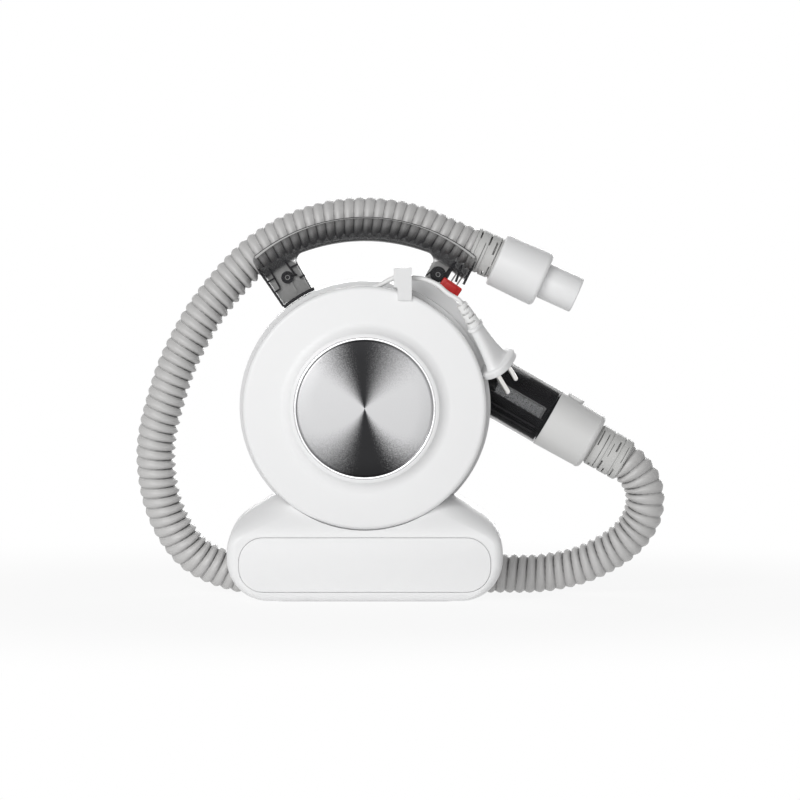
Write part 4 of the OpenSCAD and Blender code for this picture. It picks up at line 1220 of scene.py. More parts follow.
@dataclass
class Drum:
    """The blower drum: housing, front cover, spun disc, trim ring, rear cover and its grille."""

    axis_z: float = 150.0
    cover_y: float = -43.5
    groove_y: float = -34.5
    cover_r: float = 94.5
    wall: float = 2.4
    mound: float = 6.0
    disc_r: float = 53.0
    ring_w: float = 1.8
    back_y: float = 49.5
    rear_t: float = 2.4
    intake_r: float = 58.0
    bars: int = 24
    screw_circle: float = 88.0
    housing_r: float = 97.9
    segments: int = 160

    def build(self, shop: Workshop, row: Repeat, outlet: "Outlet") -> None:
        """Builds the pieces of the drum."""
        about = about_y(0, self.axis_z)
        shop.dress(self.housing(outlet), Slot.WHITE, stands_for=["rear_housing"])
        shop.copy("reel", "cord_spool", Slot.WHITE, 0.4)
        shop.copy("back_lid", "rear_cover", Slot.WHITE, 0.6)
        self.front_lid(shop, about)
        self.disc(shop, about)
        self.grille(shop, row)
        self.screws(shop, row)

    def housing(self, outlet: "Outlet") -> bpy.types.Object:
        """Copies the housing, with its scroll cut back where the outlet duct comes out of the drum, and with painted
        shade darkening its colour.
        """
        housing = from_node("blower_housing", "rear_housing", 0.0)
        axis = outlet.at(0.0)
        along = (outlet.at(1.0) - axis).normalized()
        side = Vector((-along.z, 0, along.x))
        across = side * (outlet.radius + 0.15)
        rim = arc((0, self.axis_z), self.housing_r, -12, 18, 10)
        inside = [p for p in rim if abs((p[0] - axis.x) * side.x + (p[1] - axis.z) * side.z) < outlet.radius]
        far = axis + along * -20.0
        ends = [(far.x + across.x, far.z + across.z), (far.x - across.x, far.z - across.z)]
        outline = inside + (ends if across.z > 0 else list(reversed(ends)))
        carve(housing, Shape().prism([(x, -z) for x, z in outline], -14.0, outlet.y, about_y(0, 0)))
        soften(housing, 0.6, 34.0)
        # Painted shade: the housing's colour is darkened to stand in for the shade behind the cover.
        return dull(housing, 0.25)

    def front_lid(self, shop: Workshop, about: Matrix) -> None:
        """Turns the front cover with its rounded rim and the flare up to the disc."""
        seat = self.disc_r + self.ring_w + 0.15
        top = self.cover_y - self.mound
        flare = 10.5
        turn = math.degrees(math.acos((flare - self.mound) / flare))
        outline = [(self.cover_r, self.groove_y)]
        outline += arc((self.cover_r - 3.6, self.cover_y + 3.6), 3.6, 0, -90, 8)
        outline += arc((seat + 1.5 + flare, self.cover_y - flare), flare, 90, 90 + turn - 4, 10)
        outline += [(seat + 2.1, top + 0.35), (seat + 1.4, top + 0.02), (seat + 0.25, top), (seat, top + 0.25)]
        outline += [(seat, top + 3.8), (0.0, top + 3.8), (0.0, top + 3.8 + self.wall)]
        outline += [(seat + 6, top + 3.8 + self.wall), (seat + 9, self.cover_y + self.wall)]
        outline += [(self.cover_r - self.wall, self.cover_y + self.wall), (self.cover_r - self.wall, self.groove_y)]
        lid = Shape().lathe(outline, self.segments, about)
        low = [(69.5, -41.5, 0.3), (75.7, -41.5, 0.3)]
        rib = rounded(low + [(75.7, self.groove_y, 0.5), (69.5, self.groove_y, 0.5)], 2)
        lid.lathe(rib, self.segments, about)
        shop.dress(from_shape("front_lid", lid), Slot.WHITE, stands_for=["front_cover"])

    def disc(self, shop: Workshop, about: Matrix) -> None:
        """Turns the spun disc and the polished ring round it."""
        top = self.cover_y - self.mound
        edge = self.disc_r - 0.15
        outline = [(0.0, top + 0.2), (12.0, top + 0.22), (40.0, top + 0.36), (self.disc_r - 2, top + 0.5)]
        outline += [(self.disc_r - 0.8, top + 0.65), (edge, top + 1.2), (edge, top + 3.65), (0.0, top + 3.65)]
        plate = Shape().lathe(outline, self.segments, about)
        shop.dress(from_shape("spun_plate", plate), Slot.SPUN, stands_for=["steel_disc"])
        half = self.ring_w / 2
        outline = [(self.disc_r, top + 3.65)] + arc((self.disc_r + half, top), half, 180, 360, 10)
        outline += [(self.disc_r + self.ring_w, top + 3.65)]
        ring = Shape().lathe(outline, self.segments, about)
        shop.dress(from_shape("trim_ring", ring), Slot.TRIM, stands_for=["disc_ring"])

    def grille(self, shop: Workshop, row: Repeat) -> None:
        """Builds the intake grille: a turned rim with radial bars set round it."""
        about = about_y(0, self.axis_z)
        low, high = self.back_y - 3.8, self.back_y + self.rear_t + 1.5
        mid = self.back_y + self.rear_t - 1
        rim = Shape()
        rim.lathe(rounded([(54.2, low, 0.4), (58, low, 0.4), (58, high, 0.8), (54.2, high, 0.8)], 3), 120, about)
        rim.lathe(rounded([(32.2, mid, 0.3), (34.5, mid, 0.3), (34.5, high, 0.5), (32.2, high, 0.5)], 2), 96, about)
        hub = [(0, mid), (10.2, mid), (10.5, mid + 0.3), (10.5, high - 0.8), (10.2, high - 0.2), (9.6, high), (0, high)]
        rim.lathe(hub, 48, about)
        for start in (0, 120, 240):
            self.lug(rim, start + 15, about)
        grille = from_shape("intake_rim", rim)
        shop.dress(grille, Slot.WHITE, Body.GRILLE, ["intake_grille"])
        blade = rounded([(9, -0.8, 0.5), (56, -0.6, 0.4), (56, 0.6, 0.4), (9, 0.8, 0.5)], 2)
        bar = from_shape("bar", Shape().prism(blade, mid + 0.3, high - 0.1, about_y(0, 0), 0.3))
        places = [Vector((0, 0, self.axis_z))] * self.bars
        step = 2 * math.pi / self.bars
        slats = in_row(row, "intake_bars", bar, places, shop.paint[Slot.WHITE], First_turn=0.0, Turn=step, Play=0.0)
        shop.dress(slats, Slot.WHITE, Body.GRILLE)

    def lug(self, shape: Shape, start: float, about: Matrix) -> None:
        """Adds one lug of the grille to a shape."""
        low, high = self.back_y - 3.4, self.back_y - 0.4
        rings = []
        for k in range(7):
            angle = math.radians(start + 20 * k / 6)
            c, s = math.cos(angle), math.sin(angle)
            corners = ((56.5, low), (60.6, low), (60.6, high), (56.5, high))
            rings.append([about @ Vector((r * c, r * s, h)) for r, h in corners])
        shape.loft(rings)

    def screws(self, shop: Workshop, row: Repeat) -> None:
        """Sets the four rear screws, each with a round hollow in its head."""
        head = self.back_y + self.rear_t
        outline = (
            (0, -8), (1.5, -8), (1.5, 0.05), (2.2, 0.05), (2.2, 1.0),
            (2.0, 1.4), (1.6, 1.6), (1.1, 1.6), (0.7, 0.9), (0, 0.9),
        )
        shape = Shape().lathe([(r, head + h) for r, h in outline], 24, about_y(0, 0))
        screw = from_shape("screw", shape)
        places = [
            Vector((self.screw_circle * math.cos(a), 0, self.axis_z + self.screw_circle * math.sin(a)))
            for a in (math.radians(45 + 90 * i) for i in range(4))
        ]
        made = in_row(row, "back_screws", screw, places, shop.paint[Slot.STEEL], First_turn=0.2, Turn=0.7, Play=0.5)
        shop.dress(made, Slot.STEEL, stands_for=["rear_cover_screws"])


def cuff(
    name: str, about: Matrix, start: float, rings: Sequence[Point2], slots: Sequence[tuple[float, float, float, float]]
) -> bpy.types.Object:
    """Builds a slotted hose cuff of rounded rings.

    Args:
        name: The piece's name.
        about: Puts local Z along the cuff.
        start: Where the cuff's sleeve begins.
        rings: Start and end of each rounded ring.
        slots: Place, first and last angle in degrees from the upper side towards the front, and width.

    Returns:
        The piece.
    """
    bore, outer = 15.3, 17.0
    outline = [(bore, start), (outer - 0.5, start)]
    for low, high in rings:
        for k in range(7):
            turn = math.pi * k / 6
            side = low + 0.25 if k < 3.5 else high - 0.25
            outline.append((outer - 1.0 * (1 - math.sin(turn)), side + (0.9 if k < 3.5 else -0.8) * math.sin(turn)))
    end = rings[-1][1]
    outline += [(outer - 0.8, end), (bore, end)]
    piece = from_shape(name, Shape().lathe(outline, 96, about))
    tool = Shape()
    for middle, first, last, wide in slots:
        wide *= 1.35
        steps = max(2, int((last - first) / 6))
        made = []
        for k in range(steps + 1):
            turn = math.radians(180 + first + (last - first) * k / steps)
            corners = ((14.6, -wide / 2), (18.0, -wide / 2), (18.0, wide / 2), (14.6, wide / 2))
            made.append([about @ Vector((r * math.cos(turn), r * math.sin(turn), middle + h)) for r, h in corners])
        tool.loft(made)
    carve(piece, tool)
    return piece


@dataclass
class Outlet(Sloping):
    """The smoked outlet duct with its heater, the hose collar, its button and the slotted cuff.

    The axis starts at the collar's front edge.
    """

    x: float = 143.2
    y: float = 22.5
    z: float = 139.9
    slope: float = 30.0
    radius: float = 23.2
    wall: float = 1.9
    spigot_r: float = 20.2
    spigot_l: float = 19.5
    inside: float = 69.0
    collar_l: float = 40.5
    cuff_out: float = 28.5

    def heater(self) -> Shape:
        """The heater's carrier: a stepped upper block, a lower block, two bars and the ring at the collar's joint."""
        shape, about, fit = Shape(), self.about(), self.radius - self.wall - 0.3
        blocks = (
            (fit, -fit, -6.2, -27.5, -1.6),
            (fit - 1.9, 1.9 - fit, -6.2, -39.5, -27.5),
            (fit - 3.6, 3.6 - fit, -6.2, -52, -39.5),
            (fit, 3.9, fit, -64.0, -1.6),
            (fit - 1.2, 8.0, fit - 1.2, -66.0, -64.0),
        )
        for radius, low, high, start, end in blocks:
            xs = [low + (high - low) * k / 24 for k in range(25)]
            near = [(x, -math.sqrt(max(radius**2 - x * x, 0.0))) for x in xs]
            shape.prism(near + [(x, -y) for x, y in reversed(near)], start, end, about)
        for bar in ((11.5, -20.2), (16.0, -16.6)):
            shape.prism([(bar[0] + x, bar[1] + y) for x, y in oval(1.2, 3.0, 0.5)], -58.0, -6.0, about)
        shape.lathe([(16.8, -3.4), (fit + 0.1, -3.4), (fit + 0.1, -1.5), (16.8, -1.5)], 72, about)
        return shape

    def build(self, shop: Workshop) -> None:
        """Builds the pieces of the outlet."""
        inner, root = self.radius - self.wall, self.spigot_r - self.wall
        outline = rounded(
            [
                (root, -0.1 - 1.1, 0.5), (inner, -1.3, 0.6), (inner, -self.inside, 0.2),
                (self.radius, -self.inside, 0.2),
                (self.radius, -0.1, 0.4), (self.spigot_r, -0.1, 0.3), (self.spigot_r, self.spigot_l, 0.4),
                (root, self.spigot_l, 0.3),
            ],
            3,
        )
        duct = from_shape("duct_tube", Shape().lathe(outline, 112, self.about()))
        shop.dress(duct, Slot.SMOKE, stands_for=["outlet_duct"])
        shop.dress(from_shape("heater_block", self.heater()), Slot.BLACK, stands_for=["heater_frame"])
        shop.copy("collar", "hose_collar", Slot.GREY, 0.35, angle=30.0)
        shop.copy("button", "release_button", Slot.GREY, 0.5, Body.RELEASE)
        c = self.collar_l
        rings = ((c + 0.8, c + 12.0), (c + 12.0, c + 21.9), (c + 21.9, c + self.cuff_out))
        slots = (
            (3.4, 36, 86, 0.8), (8.2, 40, 165, 0.6), (18.7, 43, 78, 1.1), (12.9, 118, 165, 1.0),
            (23.4, 122, 170, 0.9),
            (16.8, 138, 166, 0.9), (26.0, 46, 98, 0.4), (5.0, 150, 172, 1.1), (14.6, 60, 100, 0.35),
            (8.2, 215, 320, 0.8), (18.0, 200, 300, 0.8),
        )
        placed_slots = [(c + t, a, b, w) for t, a, b, w in slots]
        sleeve = cuff("outlet_sleeve", self.about(), self.spigot_l + 3.1, rings, placed_slots)
        shop.dress(sleeve, Slot.CUFF, stands_for=["outlet_cuff"])


@dataclass
class Nozzle(Sloping):
    """The hand nozzle: slotted cuff, turning grip and outlet tube. The axis starts at the grip's rear face."""

    x: float = 137 * math.cos(math.radians(63)) + 40.4
    y: float = 22.5
    z: float = 160 + 137 * math.sin(math.radians(63)) - 18.1
    slope: float = 24.5
    grip_r: float = 21.2
    front_r: float = 22.3
    grip_l: float = 40.5
    tip_r: float = 14.3
    tip_wall: float = 2.7
    tip_l: float = 29.0
    cuff_r: float = 17.06

    def build(self, shop: Workshop) -> None:
        """Builds the pieces of the nozzle."""
        length, root = self.grip_l, self.tip_r + 0.75
        outline = rounded(
            [
                (self.cuff_r, 0.3, 0.4), (self.grip_r, 0.3, 2.2), (self.front_r, length, 3.4), (root, length, 0.4),
                (root, length - 6, 0), (self.front_r - 2.6, length - 6, 0.5), (self.grip_r - 2.2, 10.9, 0.5),
                (11, 10.9, 0.3), (11, 9.3, 0.2), (self.cuff_r, 9.3, 0),
            ],
            6,
        )
        grip = from_shape("grip", Shape().lathe(outline, 112, self.about()))
        shop.dress(grip, Slot.WHITE, Body.NOZZLE, ["nozzle_grip"])
        bore = self.tip_r - self.tip_wall
        end = length + self.tip_l
        outline = rounded(
            [
                (bore, length - 9, 0.2), (self.tip_r + 2.2, length - 9, 0.3), (self.tip_r + 2.2, length - 6.15, 0.2),
                (self.tip_r + 0.6, length - 6.15, 0), (self.tip_r + 0.6, length + 0.2, 0.1),
                (self.tip_r - 0.3, length + 0.2, 0),
                (self.tip_r - 0.3, length + 0.5, 0), (self.tip_r, length + 0.5, 0.1), (self.tip_r, end, 2.0),
                (bore, end, 0.7),
            ],
            4,
        )
        pipe = from_shape("outlet_pipe", Shape().lathe(outline, 96, self.about()))
        shop.dress(pipe, Slot.WHITE, Body.NOZZLE, ["nozzle_tip"])
        rings = ((-21.0, -17.6), (-17.6, -9.7), (-9.7, -0.9), (-0.9, 9.0))
        slots = (
            (-1.6, 24, 110, 0.7), (-4.2, 42, 84, 1.1), (-9.7, 22, 62, 1.0), (-17.8, 20, 52, 0.9),
            (-2.8, 118, 162, 0.8),
            (-5.8, 138, 168, 1.0), (-12.6, 60, 150, 0.4), (-14.4, 120, 165, 0.8), (-5.0, 200, 300, 0.8),
            (-13.0, 215, 330, 0.8),
        )
        sleeve = cuff("nozzle_sleeve", self.about(), -21.0, rings, slots)
        shop.dress(sleeve, Slot.CUFF, stands_for=["nozzle_cuff"])


@dataclass
class Hose:
    """The ribbed hose, from the outlet cuff down, behind the foot, up the left side and over the handle."""

    radius: float = 15.0
    crest: float = 0.4
    depth: float = 2.7
    squeeze: float = 0.3
    ribs: int = 124
    rings: int = 14
    sides: int = 44
    seat_r: float = 137.0
    handle_z: float = 160.0
    low_y: float = 45.0
    low_z: float = 15.5

    def route(self, outlet: Outlet, nozzle: Nozzle) -> list[Vector]:
        """The centre line, as a smooth curve.

        Args:
            outlet: The outlet that the hose starts in.
            nozzle: The nozzle that it ends in.

        Returns:
            Points in millimetres.
        """
        start = self.seat_point(118)
        points = [outlet.at(t) for t in (23.3, 38.3, 54.8, 69.8)]
        points += [
            Vector(p)
            for p in (
                (212.5, 24, 96), (218, 26, 86), (219.6, 28, 73.5), (217.5, 31, 62), (212, 34, 51.5), (203.5, 36, 42),
                (193.5, 38.5, 34.5), (179, 41, 26.5), (164.5, 43, 21), (146.5, 44.5, 17), (129.5, self.low_y, 15.5),
            )
        ]
        points += [Vector((x, self.low_y, self.low_z)) for x in (109, 70, 35, 0, -35, -70)]
        points += [
            Vector(p)
            for p in (
                (-100, 44.5, 16.2), (-130.5, 41.5, 28.5), (-148.2, 38.5, 48), (-159.1, 35, 72.5),
                (-163.9, 31.5, 99.5),
                (-163.1, 28, 125), (-155.5, 24.5, 155.5), (-145.6, 23, 184),
            )
        ]
        points += [start + Vector((x, 0, z)) for x, z in ((-63.9, -64), (-44.5, -38.2), (-22.2, -15))]
        points += [self.seat_point(a) for a in (118, 109, 100, 90, 80, 71, 63)]
        points += [nozzle.at(t) for t in (-30, -15, 2.3, 4.5)]
        return smooth_path(points)

    def seat_point(self, degrees: float) -> Vector:
        """A point of the hose's arc over the handle."""
        a = math.radians(degrees)
        return Vector((self.seat_r * math.cos(a), 22.5, self.handle_z + self.seat_r * math.sin(a)))

    def build(self, shop: Workshop, tree: Repeat, outlet: Outlet, nozzle: Nozzle) -> None:
        path = spaced(self.route(outlet, nozzle), 460)
        length = path_length(path)
        piece = tree.make(
            "hose_tube", base_curve(path), 75.0, Ribs=self.ribs, Rings=self.rings,
            Radius=(self.radius + self.crest) * MM, Depth=self.depth * MM, Squeeze=self.squeeze, Hub=(0.0, 0.0, 0.15), Sides=self.sides,
            Finish=shop.paint[Slot.HOSE],
        )
        shop.dress(piece, Slot.HOSE, stands_for=["hose"])
        tuple(path[0] * MM)
        [tuple(p * MM) for p in path]
        LOG.info("hose: %.0f mm long, one rib to %.2f mm", length, length / self.ribs)


@dataclass
class Handle:
    """The smoked handle with its inner frame, screws, power slider and switch."""

    seat_r: float = 137.0
    axis_z: float = 160.0
    grip_r: float = 143.7
    grip_z: float = 137.0
    leg_x: float = 66.7
    leg_z: float = 242.0
    lean: float = 34.0
    left_ribs: tuple[tuple[float, float, float, float, float], ...] = (
        (-83.2, 256.1, -63.6, 227.3, 1.8), (-41.8, 240.5, -53.7, 261.7, 0.9), (-74.9, 257.2, -66.3, 241.6, 1.3),
        (-76.0, 246.0, -70.4, 249.3, 1.2), (-70.6, 237.9, -66.0, 241.0, 1.2), (-63.2, 263.4, -53.8, 251.0, 1.6),
        (-57.6, 250.7, -52.9, 252.0, 1.4), (-57.7, 257.6, -53.0, 259.8, 1.5), (-51.2, 249.5, -47.0, 251.7, 1.5),
    )
    right_ribs: tuple[tuple[float, float, float, float, float], ...] = (
        (70.5, 262.0, 62.0, 246.5, 2.6), (47.8, 251.0, 55.6, 257.5, 1.2),
        (84.2, 258.5, 76.9, 244.0, 1.9), (75.6, 259.5, 70.9, 246.0, 1.9), (67.5, 258.5, 62.5, 251.5, 1.4),
    )
    left_plate: tuple[Point2, ...] = (
        (-81.5, 256.5), (-74.5, 259.5), (-64.0, 263.8), (-58.0, 262.6), (-54.3, 261.0), (-42.8, 240.9),
        (-63.3, 229.0),
    )
    right_plate: tuple[Point2, ...] = (
        (46.8, 249.6), (52.2, 261.0), (58.0, 262.5), (68.0, 258.0), (62.0, 249.5), (56.0, 247.5),
    )

    def on_leg(self) -> Matrix:
        """Puts local X up the right leg and local Z across it."""
        turn = Matrix.Rotation(math.radians(-(90 - self.lean)), 4, "Y")
        return Matrix.Translation((self.leg_x, 0, self.leg_z)) @ turn

    def build(self, shop: Workshop, row: Repeat) -> None:
        """Builds the pieces of the handle."""
        for name, node, slot, bevel in (
            ("front_shell", "handle_front", Slot.SMOKE, 0.5),
            ("rear_shell", "handle_rear", Slot.SMOKE, 0.5),
            ("leg_frame", "handle_frame", Slot.FRAME, 0.3),
            ("handle_bolts", "handle_screws", Slot.DARK_STEEL, 0.3),
        ):
            shop.copy(name, node, slot, bevel)
        self.slider(shop)
        self.lip(shop)
        self.seat_highlights(shop, row)
        self.ribs(shop)

    def slider(self, shop: Workshop) -> None:
        """Builds the red slider: a block with soft edges and a raised thumb pad."""
        about = self.on_leg() @ Matrix.Rotation(math.radians(-90), 4, "X")
        shape = Shape().prism(box(-5.8, -8.6, 4.2, 8.6, 1.4, 5), 5.2, 13.4, about, 1.0)
        shape.prism(box(-4.6, -5.4, 3.0, 5.5, 1.2, 5), 4.4, 6.5, about, 0.7)
        shop.dress(from_shape("red_key", shape), Slot.RED, Body.POWER, ["power_slider"])

    def lip(self, shop: Workshop) -> None:
        """Runs the raised lip of the front shell along the hose, widest at both ends, under a thin dark joint. The lip
        is lighter grey plastic as a painted highlight where the shell's rim catches light.
        """
        # The grey strip is a painted highlight along the rim; the black strip is the joint.
        strips = (("shell_lip", Slot.FRAME, 4.55, 0.45), ("shell_joint", Slot.BLACK, 4.75, -0.05))
        for name, slot, front, drop in strips:
            rings = []
            for k in range(81):
                turn = math.radians(129.2 - 78.4 * k / 80)
                out = Vector((math.cos(turn), 0, math.sin(turn)))
                wide = 0.45 + 1.6 * abs(out.x / 0.64) ** 2.6 if name == "shell_lip" else 0.6
                top = self.seat_r - drop
                low = top - wide
                section = rounded([(front, low, 0.25), (5.4, low, 0), (5.4, top, 0), (front, top, 0.25)], 2)
                rings.append([Vector((0, y, self.axis_z)) + out * r for y, r in section])
            shop.dress(from_shape(name, Shape().loft(rings)), slot)

    def seat_highlights(self, shop: Workshop, row: Repeat) -> None:
        """Sets the row of short seat ribs along the grip's lower wall, in lighter grey as a painted highlight: they
        stand for the dashed highlight along its underside.
        """
        seat = from_shape("seat", Shape().prism(box(-2.4, -0.5, 2.4, 0.5, 0.2, 2), 5.3, 5.9, about_y(0, 0), 0.2))
        places = [Vector((x, 0, z)) for x, z in arc((0, self.grip_z), self.grip_r, 105, 75, 10)]
        first, turn = math.radians(-15), math.radians(3.0)
        made = in_row(
            row, "grip_seats", seat, places, shop.paint[Slot.FRAME], First_turn=first, Turn=turn, Play=0.0
        )
        shop.dress(made, Slot.FRAME)

    def ribs(self, shop: Workshop) -> None:
        """Builds the dark ribs, the screw sleeves and the grey plates inside both legs."""
        shape = Shape()
        for ax, az, bx, bz, wide in self.left_ribs:
            strip(shape, (ax, az), (bx, bz), wide, 7.1, 9.3)
        for ax, az, bx, bz, wide in self.right_ribs:
            strip(shape, (ax, az), (bx, bz), wide, 14.3, 17.0)
        band = arc((0, 150), 98.1, 129.6, 113.6, 12) + arc((0, 150), 100.5, 113.6, 129.6, 12)
        shape.prism([(x, -z) for x, z in band], 7.1, 12.0, about_y(0, 0))
        for x, z, front, outer in ((-60.5, 249.7, 7.1, 4.9), (57.0, 252.0, 7.1, 4.5), (57.0, 252.0, 14.0, 6.2)):
            sleeve = [(0.0, front + 0.5), (1.9, front + 0.5), (1.9, front), (outer, front), (outer, 20.9), (1.9, 20.9)]
            shape.lathe(sleeve + [(1.9, front + 1.2), (0.0, front + 1.2)], 40, about_y(x, z))
        shop.dress(from_shape("leg_ribs", shape), Slot.BLACK)
        plates = Shape().prism([(x, -z) for x, z in self.left_plate], 9.3, 10.5, about_y(0, 0), 0.2)
        plates.prism([(x, -z) for x, z in self.right_plate], 14.4, 15.6, about_y(0, 0), 0.2)
        shop.dress(from_shape("leg_plates", plates), Slot.FRAME)


def strip(shape: Shape, start: Point2, end: Point2, wide: float, front: float, back: float) -> None:
    """Adds a straight rib to a shape, from x, z to x, z and between two depths."""
    a, b = Vector(start), Vector(end)
    side = (b - a).orthogonal().normalized() * (wide / 2)
    corners = (a - side, b - side, b + side, a + side)
    shape.prism([(p.x, -p.y) for p in corners], front, back, about_y(0, 0))


@dataclass
class Cord:
    """The mains cord: wound on the reel, held over the cover by a clip, and ending in its plug."""

    diameter: float = 3.8
    turns_to: int = 82
    per_turn: int = 24
    reel_r: float = 79.5
    axis_z: float = 150.0
    start_y: float = -17.1
    pitch: float = 4.4
    leave: float = 113.0
    clip_y: float = -31.4
    plug: tuple[float, float, float] = (105.2, -24.0, 181.0)
    slope: float = 58.5
    tilt: float = 17.5
    roll: float = -57.0
    plug_l: float = 41.0
    relief_l: float = 20.0
    pin_l: float = 19.0
    pin_pitch: float = 19.0

    def on_plug(self) -> Matrix:
        """Puts local Z along the pins, from the middle of the plug's face."""
        turn = Matrix.Rotation(math.radians(90 + self.slope), 4, "Y")
        turn = turn @ Matrix.Rotation(math.radians(-self.tilt), 4, "X")
        return Matrix.Translation(self.plug) @ turn @ Matrix.Rotation(math.radians(self.roll), 4, "Z")

    def wound(self, k: float) -> Vector:
        """A point of the winding, k steps after its inner end."""
        radius = (self.reel_r + self.diameter / 2 + 0.3) / math.cos(math.radians(180 / self.per_turn))
        a = math.radians(self.leave + 360 * (self.turns_to - k) / self.per_turn)
        y = self.start_y - self.pitch * k / self.per_turn
        return Vector((radius * math.cos(a), y, self.axis_z + radius * math.sin(a)))

    def route(self) -> list[Vector]:
        """The cord's centre line from the gland to the plug's strain relief."""
        a = math.radians(self.leave)
        along = Vector((math.sin(a), 0, -math.cos(a)))
        first = math.radians(self.leave + 360 * self.turns_to / self.per_turn)
        inward = Vector((math.sin(first), 0, -math.cos(first)))
        turns = [self.wound(self.turns_to * i / 240) for i in range(241)]
        end = turns[-1]
        y, z, d = self.clip_y, self.axis_z, self.diameter
        tail = [end, end + along * d, end + along * 3 * d]
        tail += [
            Vector(p)
            for p in (
                (8, y, z + 93.2), (21.4, y, z + 99.9), (25.4, y, z + 100.5), (36.4, y, z + 100.5),
                (46, y - 3, z + 99.5),
                (56, y - 7, z + 95.5), (64, y - 10.2, z + 89),
            )
        ]
        tail += [self.on_plug() @ Vector((0, 0, -self.plug_l - self.relief_l - back)) for back in (d, 0.3)]
        return [self.wound(0) - inward * d] + turns + spaced(smooth_path(tail), 70)[1:]

    def build(self, shop: Workshop) -> None:
        path = self.route()
        section = arc((0, 0), self.diameter / 2, 0, 360, 12)[:-1]
        lead = from_shape("mains_lead", tube(path, lambda _: section, Vector((0, 1, 0))), 60.0)
        shop.dress(lead, Slot.CORD, stands_for=["cord_winding", "cord_tail"])
        shop.copy("lead_inlet", "cord_gland", Slot.GREY, 0.2)
        shop.dress(self.clip(), Slot.WHITE, stands_for=["cord_clip"])
        shop.copy("plug_boot", "plug_relief", Slot.CORD, 0.3)
        shop.dress(from_shape("plug_shell", self.plug_shape()), Slot.WHITE, stands_for=["plug_body"])
        shop.dress(from_shape("plug_prongs", self.prongs()), Slot.NICKEL, stands_for=["plug_pins"])
        length = path_length(path)
        tuple(path[0] * MM)
        [tuple(p * MM) for p in path]
        LOG.info("mains cord: %.0f mm long", length)

    def clip(self) -> bpy.types.Object:
        """Copies the cord's clip, with a stem that is narrower than its head, and with a little painted shade darkening
        its colour.
        """
        clip = from_node("lead_clip", "cord_clip", 0.0)
        corner = rounded([(10.0, -243.6, 0), (25.2, -243.6, 0.8), (25.2, -220.0, 0), (10.0, -220.0, 0)], 5)
        carve(clip, Shape().prism(corner, -60.0, -20.0, about_y(0, 0)))
        soften(clip, 0.5, 34.0)
        # Painted shade: the clip's colour is darkened a little to stand in for shade.
        return dull(clip, 0.30)

    def plug_shape(self) -> Shape:
        """The fan-shaped plug: a collar, a neck that widens, and a wide oval face."""
        about = self.on_plug()
        body = (
            (-41.0, 7.2, 4.7), (-40.5, 7.9, 5.4), (-38.6, 8.0, 5.5), (-38.1, 7.4, 5.0), (-37.6, 6.9, 4.6),
            (-33.0, 7.3, 4.6),
            (-27.0, 8.2, 4.8), (-21.0, 9.4, 5.0), (-15.0, 11.0, 5.3), (-10.0, 12.6, 5.6), (-7.2, 13.8, 6.2),
            (-5.6, 15.2, 7.6),
        )
        rings = [[about @ Vector((x, y, t)) for x, y in squircle(a, b, 2.6)] for t, a, b in body]
        shape = Shape().loft(rings)
        face = (
            (-6.0, 16.6, 12.1), (-5.5, 17.5, 13.0), (-4.8, 18.0, 13.5), (-1.2, 18.0, 13.5),
            (-0.5, 17.6, 13.1), (0.0, 16.8, 12.3),
        )
        rings = [[about @ Vector((x, y, t)) for x, y in squircle(a, b, 2.4)] for t, a, b in face]
        return shape.loft(rings)

    def prongs(self) -> Shape:
        """The plug's two round pins with domed tips."""
        shape = Shape()
        for side in (-1, 1):
            about = self.on_plug() @ Matrix.Translation((side * self.pin_pitch / 2, 0, 0))
            outline = [(0, 0.05), (2.0, 0.05), (2.0, self.pin_l - 1.9)]
            outline += [(2.0 - 0.8 * (1 - math.cos(a)), self.pin_l - 1.9 + 1.9 * math.sin(a)) for a in (0.4, 0.8, 1.2)]
            shape.lathe(outline + [(0, self.pin_l)], 28, about)
        return shape


# ------------------------------------------------------------------------------------------------ studio


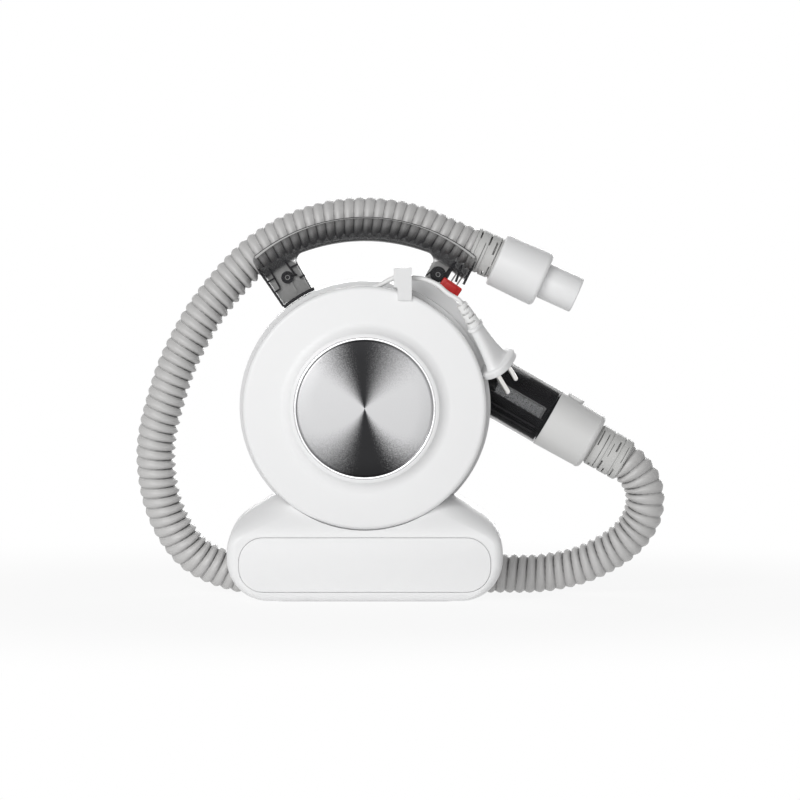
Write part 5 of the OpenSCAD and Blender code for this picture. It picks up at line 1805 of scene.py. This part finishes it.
@dataclass
class Studio:
    """The pale floor, the white surroundings, soft lights and the camera."""

    middle: tuple[float, float, float] = (0.0273, 0.0, 0.1543)
    width: float = 0.624
    distance: float = 5.0
    elevation: float = 2.75
    surround: float = 0.19
    least_glow: float = 0.35
    floor_side: float = 12.0

    def build(self) -> None:
        """Builds the studio."""
        self.camera()
        self.world()
        self.floor()
        self.lamp("key", (-1.8, -2.9, 1.6), 1.6, 57.0)
        self.lamp("back", (0.5, 3.4, 1.1), 2.0, 60.0)
        self.lamp("front", (-0.5, -4.5, 0.9), 2.4, 60.0)

    def camera(self) -> None:
        """Sets the camera at a long distance, a little above the horizon."""
        data = bpy.data.cameras.new("camera")
        data.sensor_width = 36.0
        data.lens = data.sensor_width * self.distance / self.width
        data.clip_end = 50.0
        camera = placed("camera", data)
        tilt = math.radians(self.elevation)
        back = Vector((0, -math.cos(tilt), math.sin(tilt)))
        camera.location = Vector(self.middle) + back * self.distance
        camera.rotation_euler = (-back).to_track_quat("-Z", "Y").to_euler()
        bpy.context.scene.camera = camera

    def seen(self, graph: Graph) -> Signal:
        """1 for rays that show the surroundings to the camera, straight, mirrored or through clear plastic."""
        rays = ("Is Camera Ray", "Is Glossy Ray", "Is Transmission Ray")
        straight, mirrored, through = (graph.add("ShaderNodeLightPath", out=ray) for ray in rays)
        return straight.largest(mirrored).largest(through)

    def world(self) -> None:
        """White surroundings that light the part softly."""
        graph = Graph(bpy.data.worlds.new("studio"))
        lit, shown = (
            graph.add("ShaderNodeBackground", sockets={"Color": (1.0, 1.0, 1.0), "Strength": power})
            for power in (self.surround, 1.0)
        )
        mix = graph.add("ShaderNodeMixShader", sockets={0: self.seen(graph), 1: lit, 2: shown})
        bpy.context.scene.world = graph.surface(mix, "ShaderNodeOutputWorld")

    def floor(self) -> None:
        """A pale floor that fades into the surroundings and keeps the part's shadow."""
        graph = Graph(bpy.data.materials.new("floor"))
        plain = graph.add("ShaderNodeBsdfDiffuse", sockets={"Color": (0.92, 0.92, 0.92)})
        glow = graph.add("ShaderNodeEmission", sockets={"Color": (1.0, 1.0, 1.0)})
        far = graph.add("ShaderNodeVectorMath", {"operation": "LENGTH"}, {0: graph.coordinates()}, out="Value")
        fade = {"Value": far, "From Min": 0.25, "From Max": 0.7, "To Min": 0.89, "To Max": 1.0}
        reach = graph.add("ShaderNodeMapRange", {"interpolation_type": "SMOOTHSTEP"}, fade)
        share = (self.seen(graph) * reach).largest(self.least_glow)
        mix = graph.add("ShaderNodeMixShader", sockets={0: share, 1: plain, 2: glow})
        mesh = bpy.data.meshes.new("floor")
        side = self.floor_side
        mesh.from_pydata([(-side, -side, 0), (side, -side, 0), (side, side, 0), (-side, side, 0)], [], [(0, 1, 2, 3)])
        mesh.materials.append(graph.surface(mix))
        floor = placed("floor", mesh)

    def lamp(self, name: str, place: tuple[float, float, float], size: float, power: float) -> None:
        """Adds a square soft light that faces the part.

        Args:
            name: The light's name.
            place: Where it stands, in metres.
            size: Its side, in metres.
            power: Its power in watts.
        """
        data = bpy.data.lights.new(name, "AREA")
        data.shape = "SQUARE"
        data.size = size
        data.energy = power
        lamp = placed(name, data)
        lamp.location = place
        lamp.rotation_euler = (Vector(self.middle) - Vector(place)).to_track_quat("-Z", "Y").to_euler()


def main() -> None:
    """Builds the studio and every piece of the dryer."""
    logging.basicConfig(level=logging.INFO, format="%(name)s: %(message)s")
    bpy.context.scene.view_settings.view_transform = "Standard"
    Studio().build()
    shop = Workshop(Paint())
    shop.dress_nodes()
    ribbed, row = ribbed_tube_tree(), row_tree()
    outlet, nozzle = Outlet(), Nozzle()
    Foot().build(shop)
    Drum().build(shop, row, outlet)
    outlet.build(shop)
    nozzle.build(shop)
    Hose().build(shop, ribbed, outlet, nozzle)
    Handle().build(shop, row)
    Cord().build(shop)


if __name__ == "__main__":
    main()
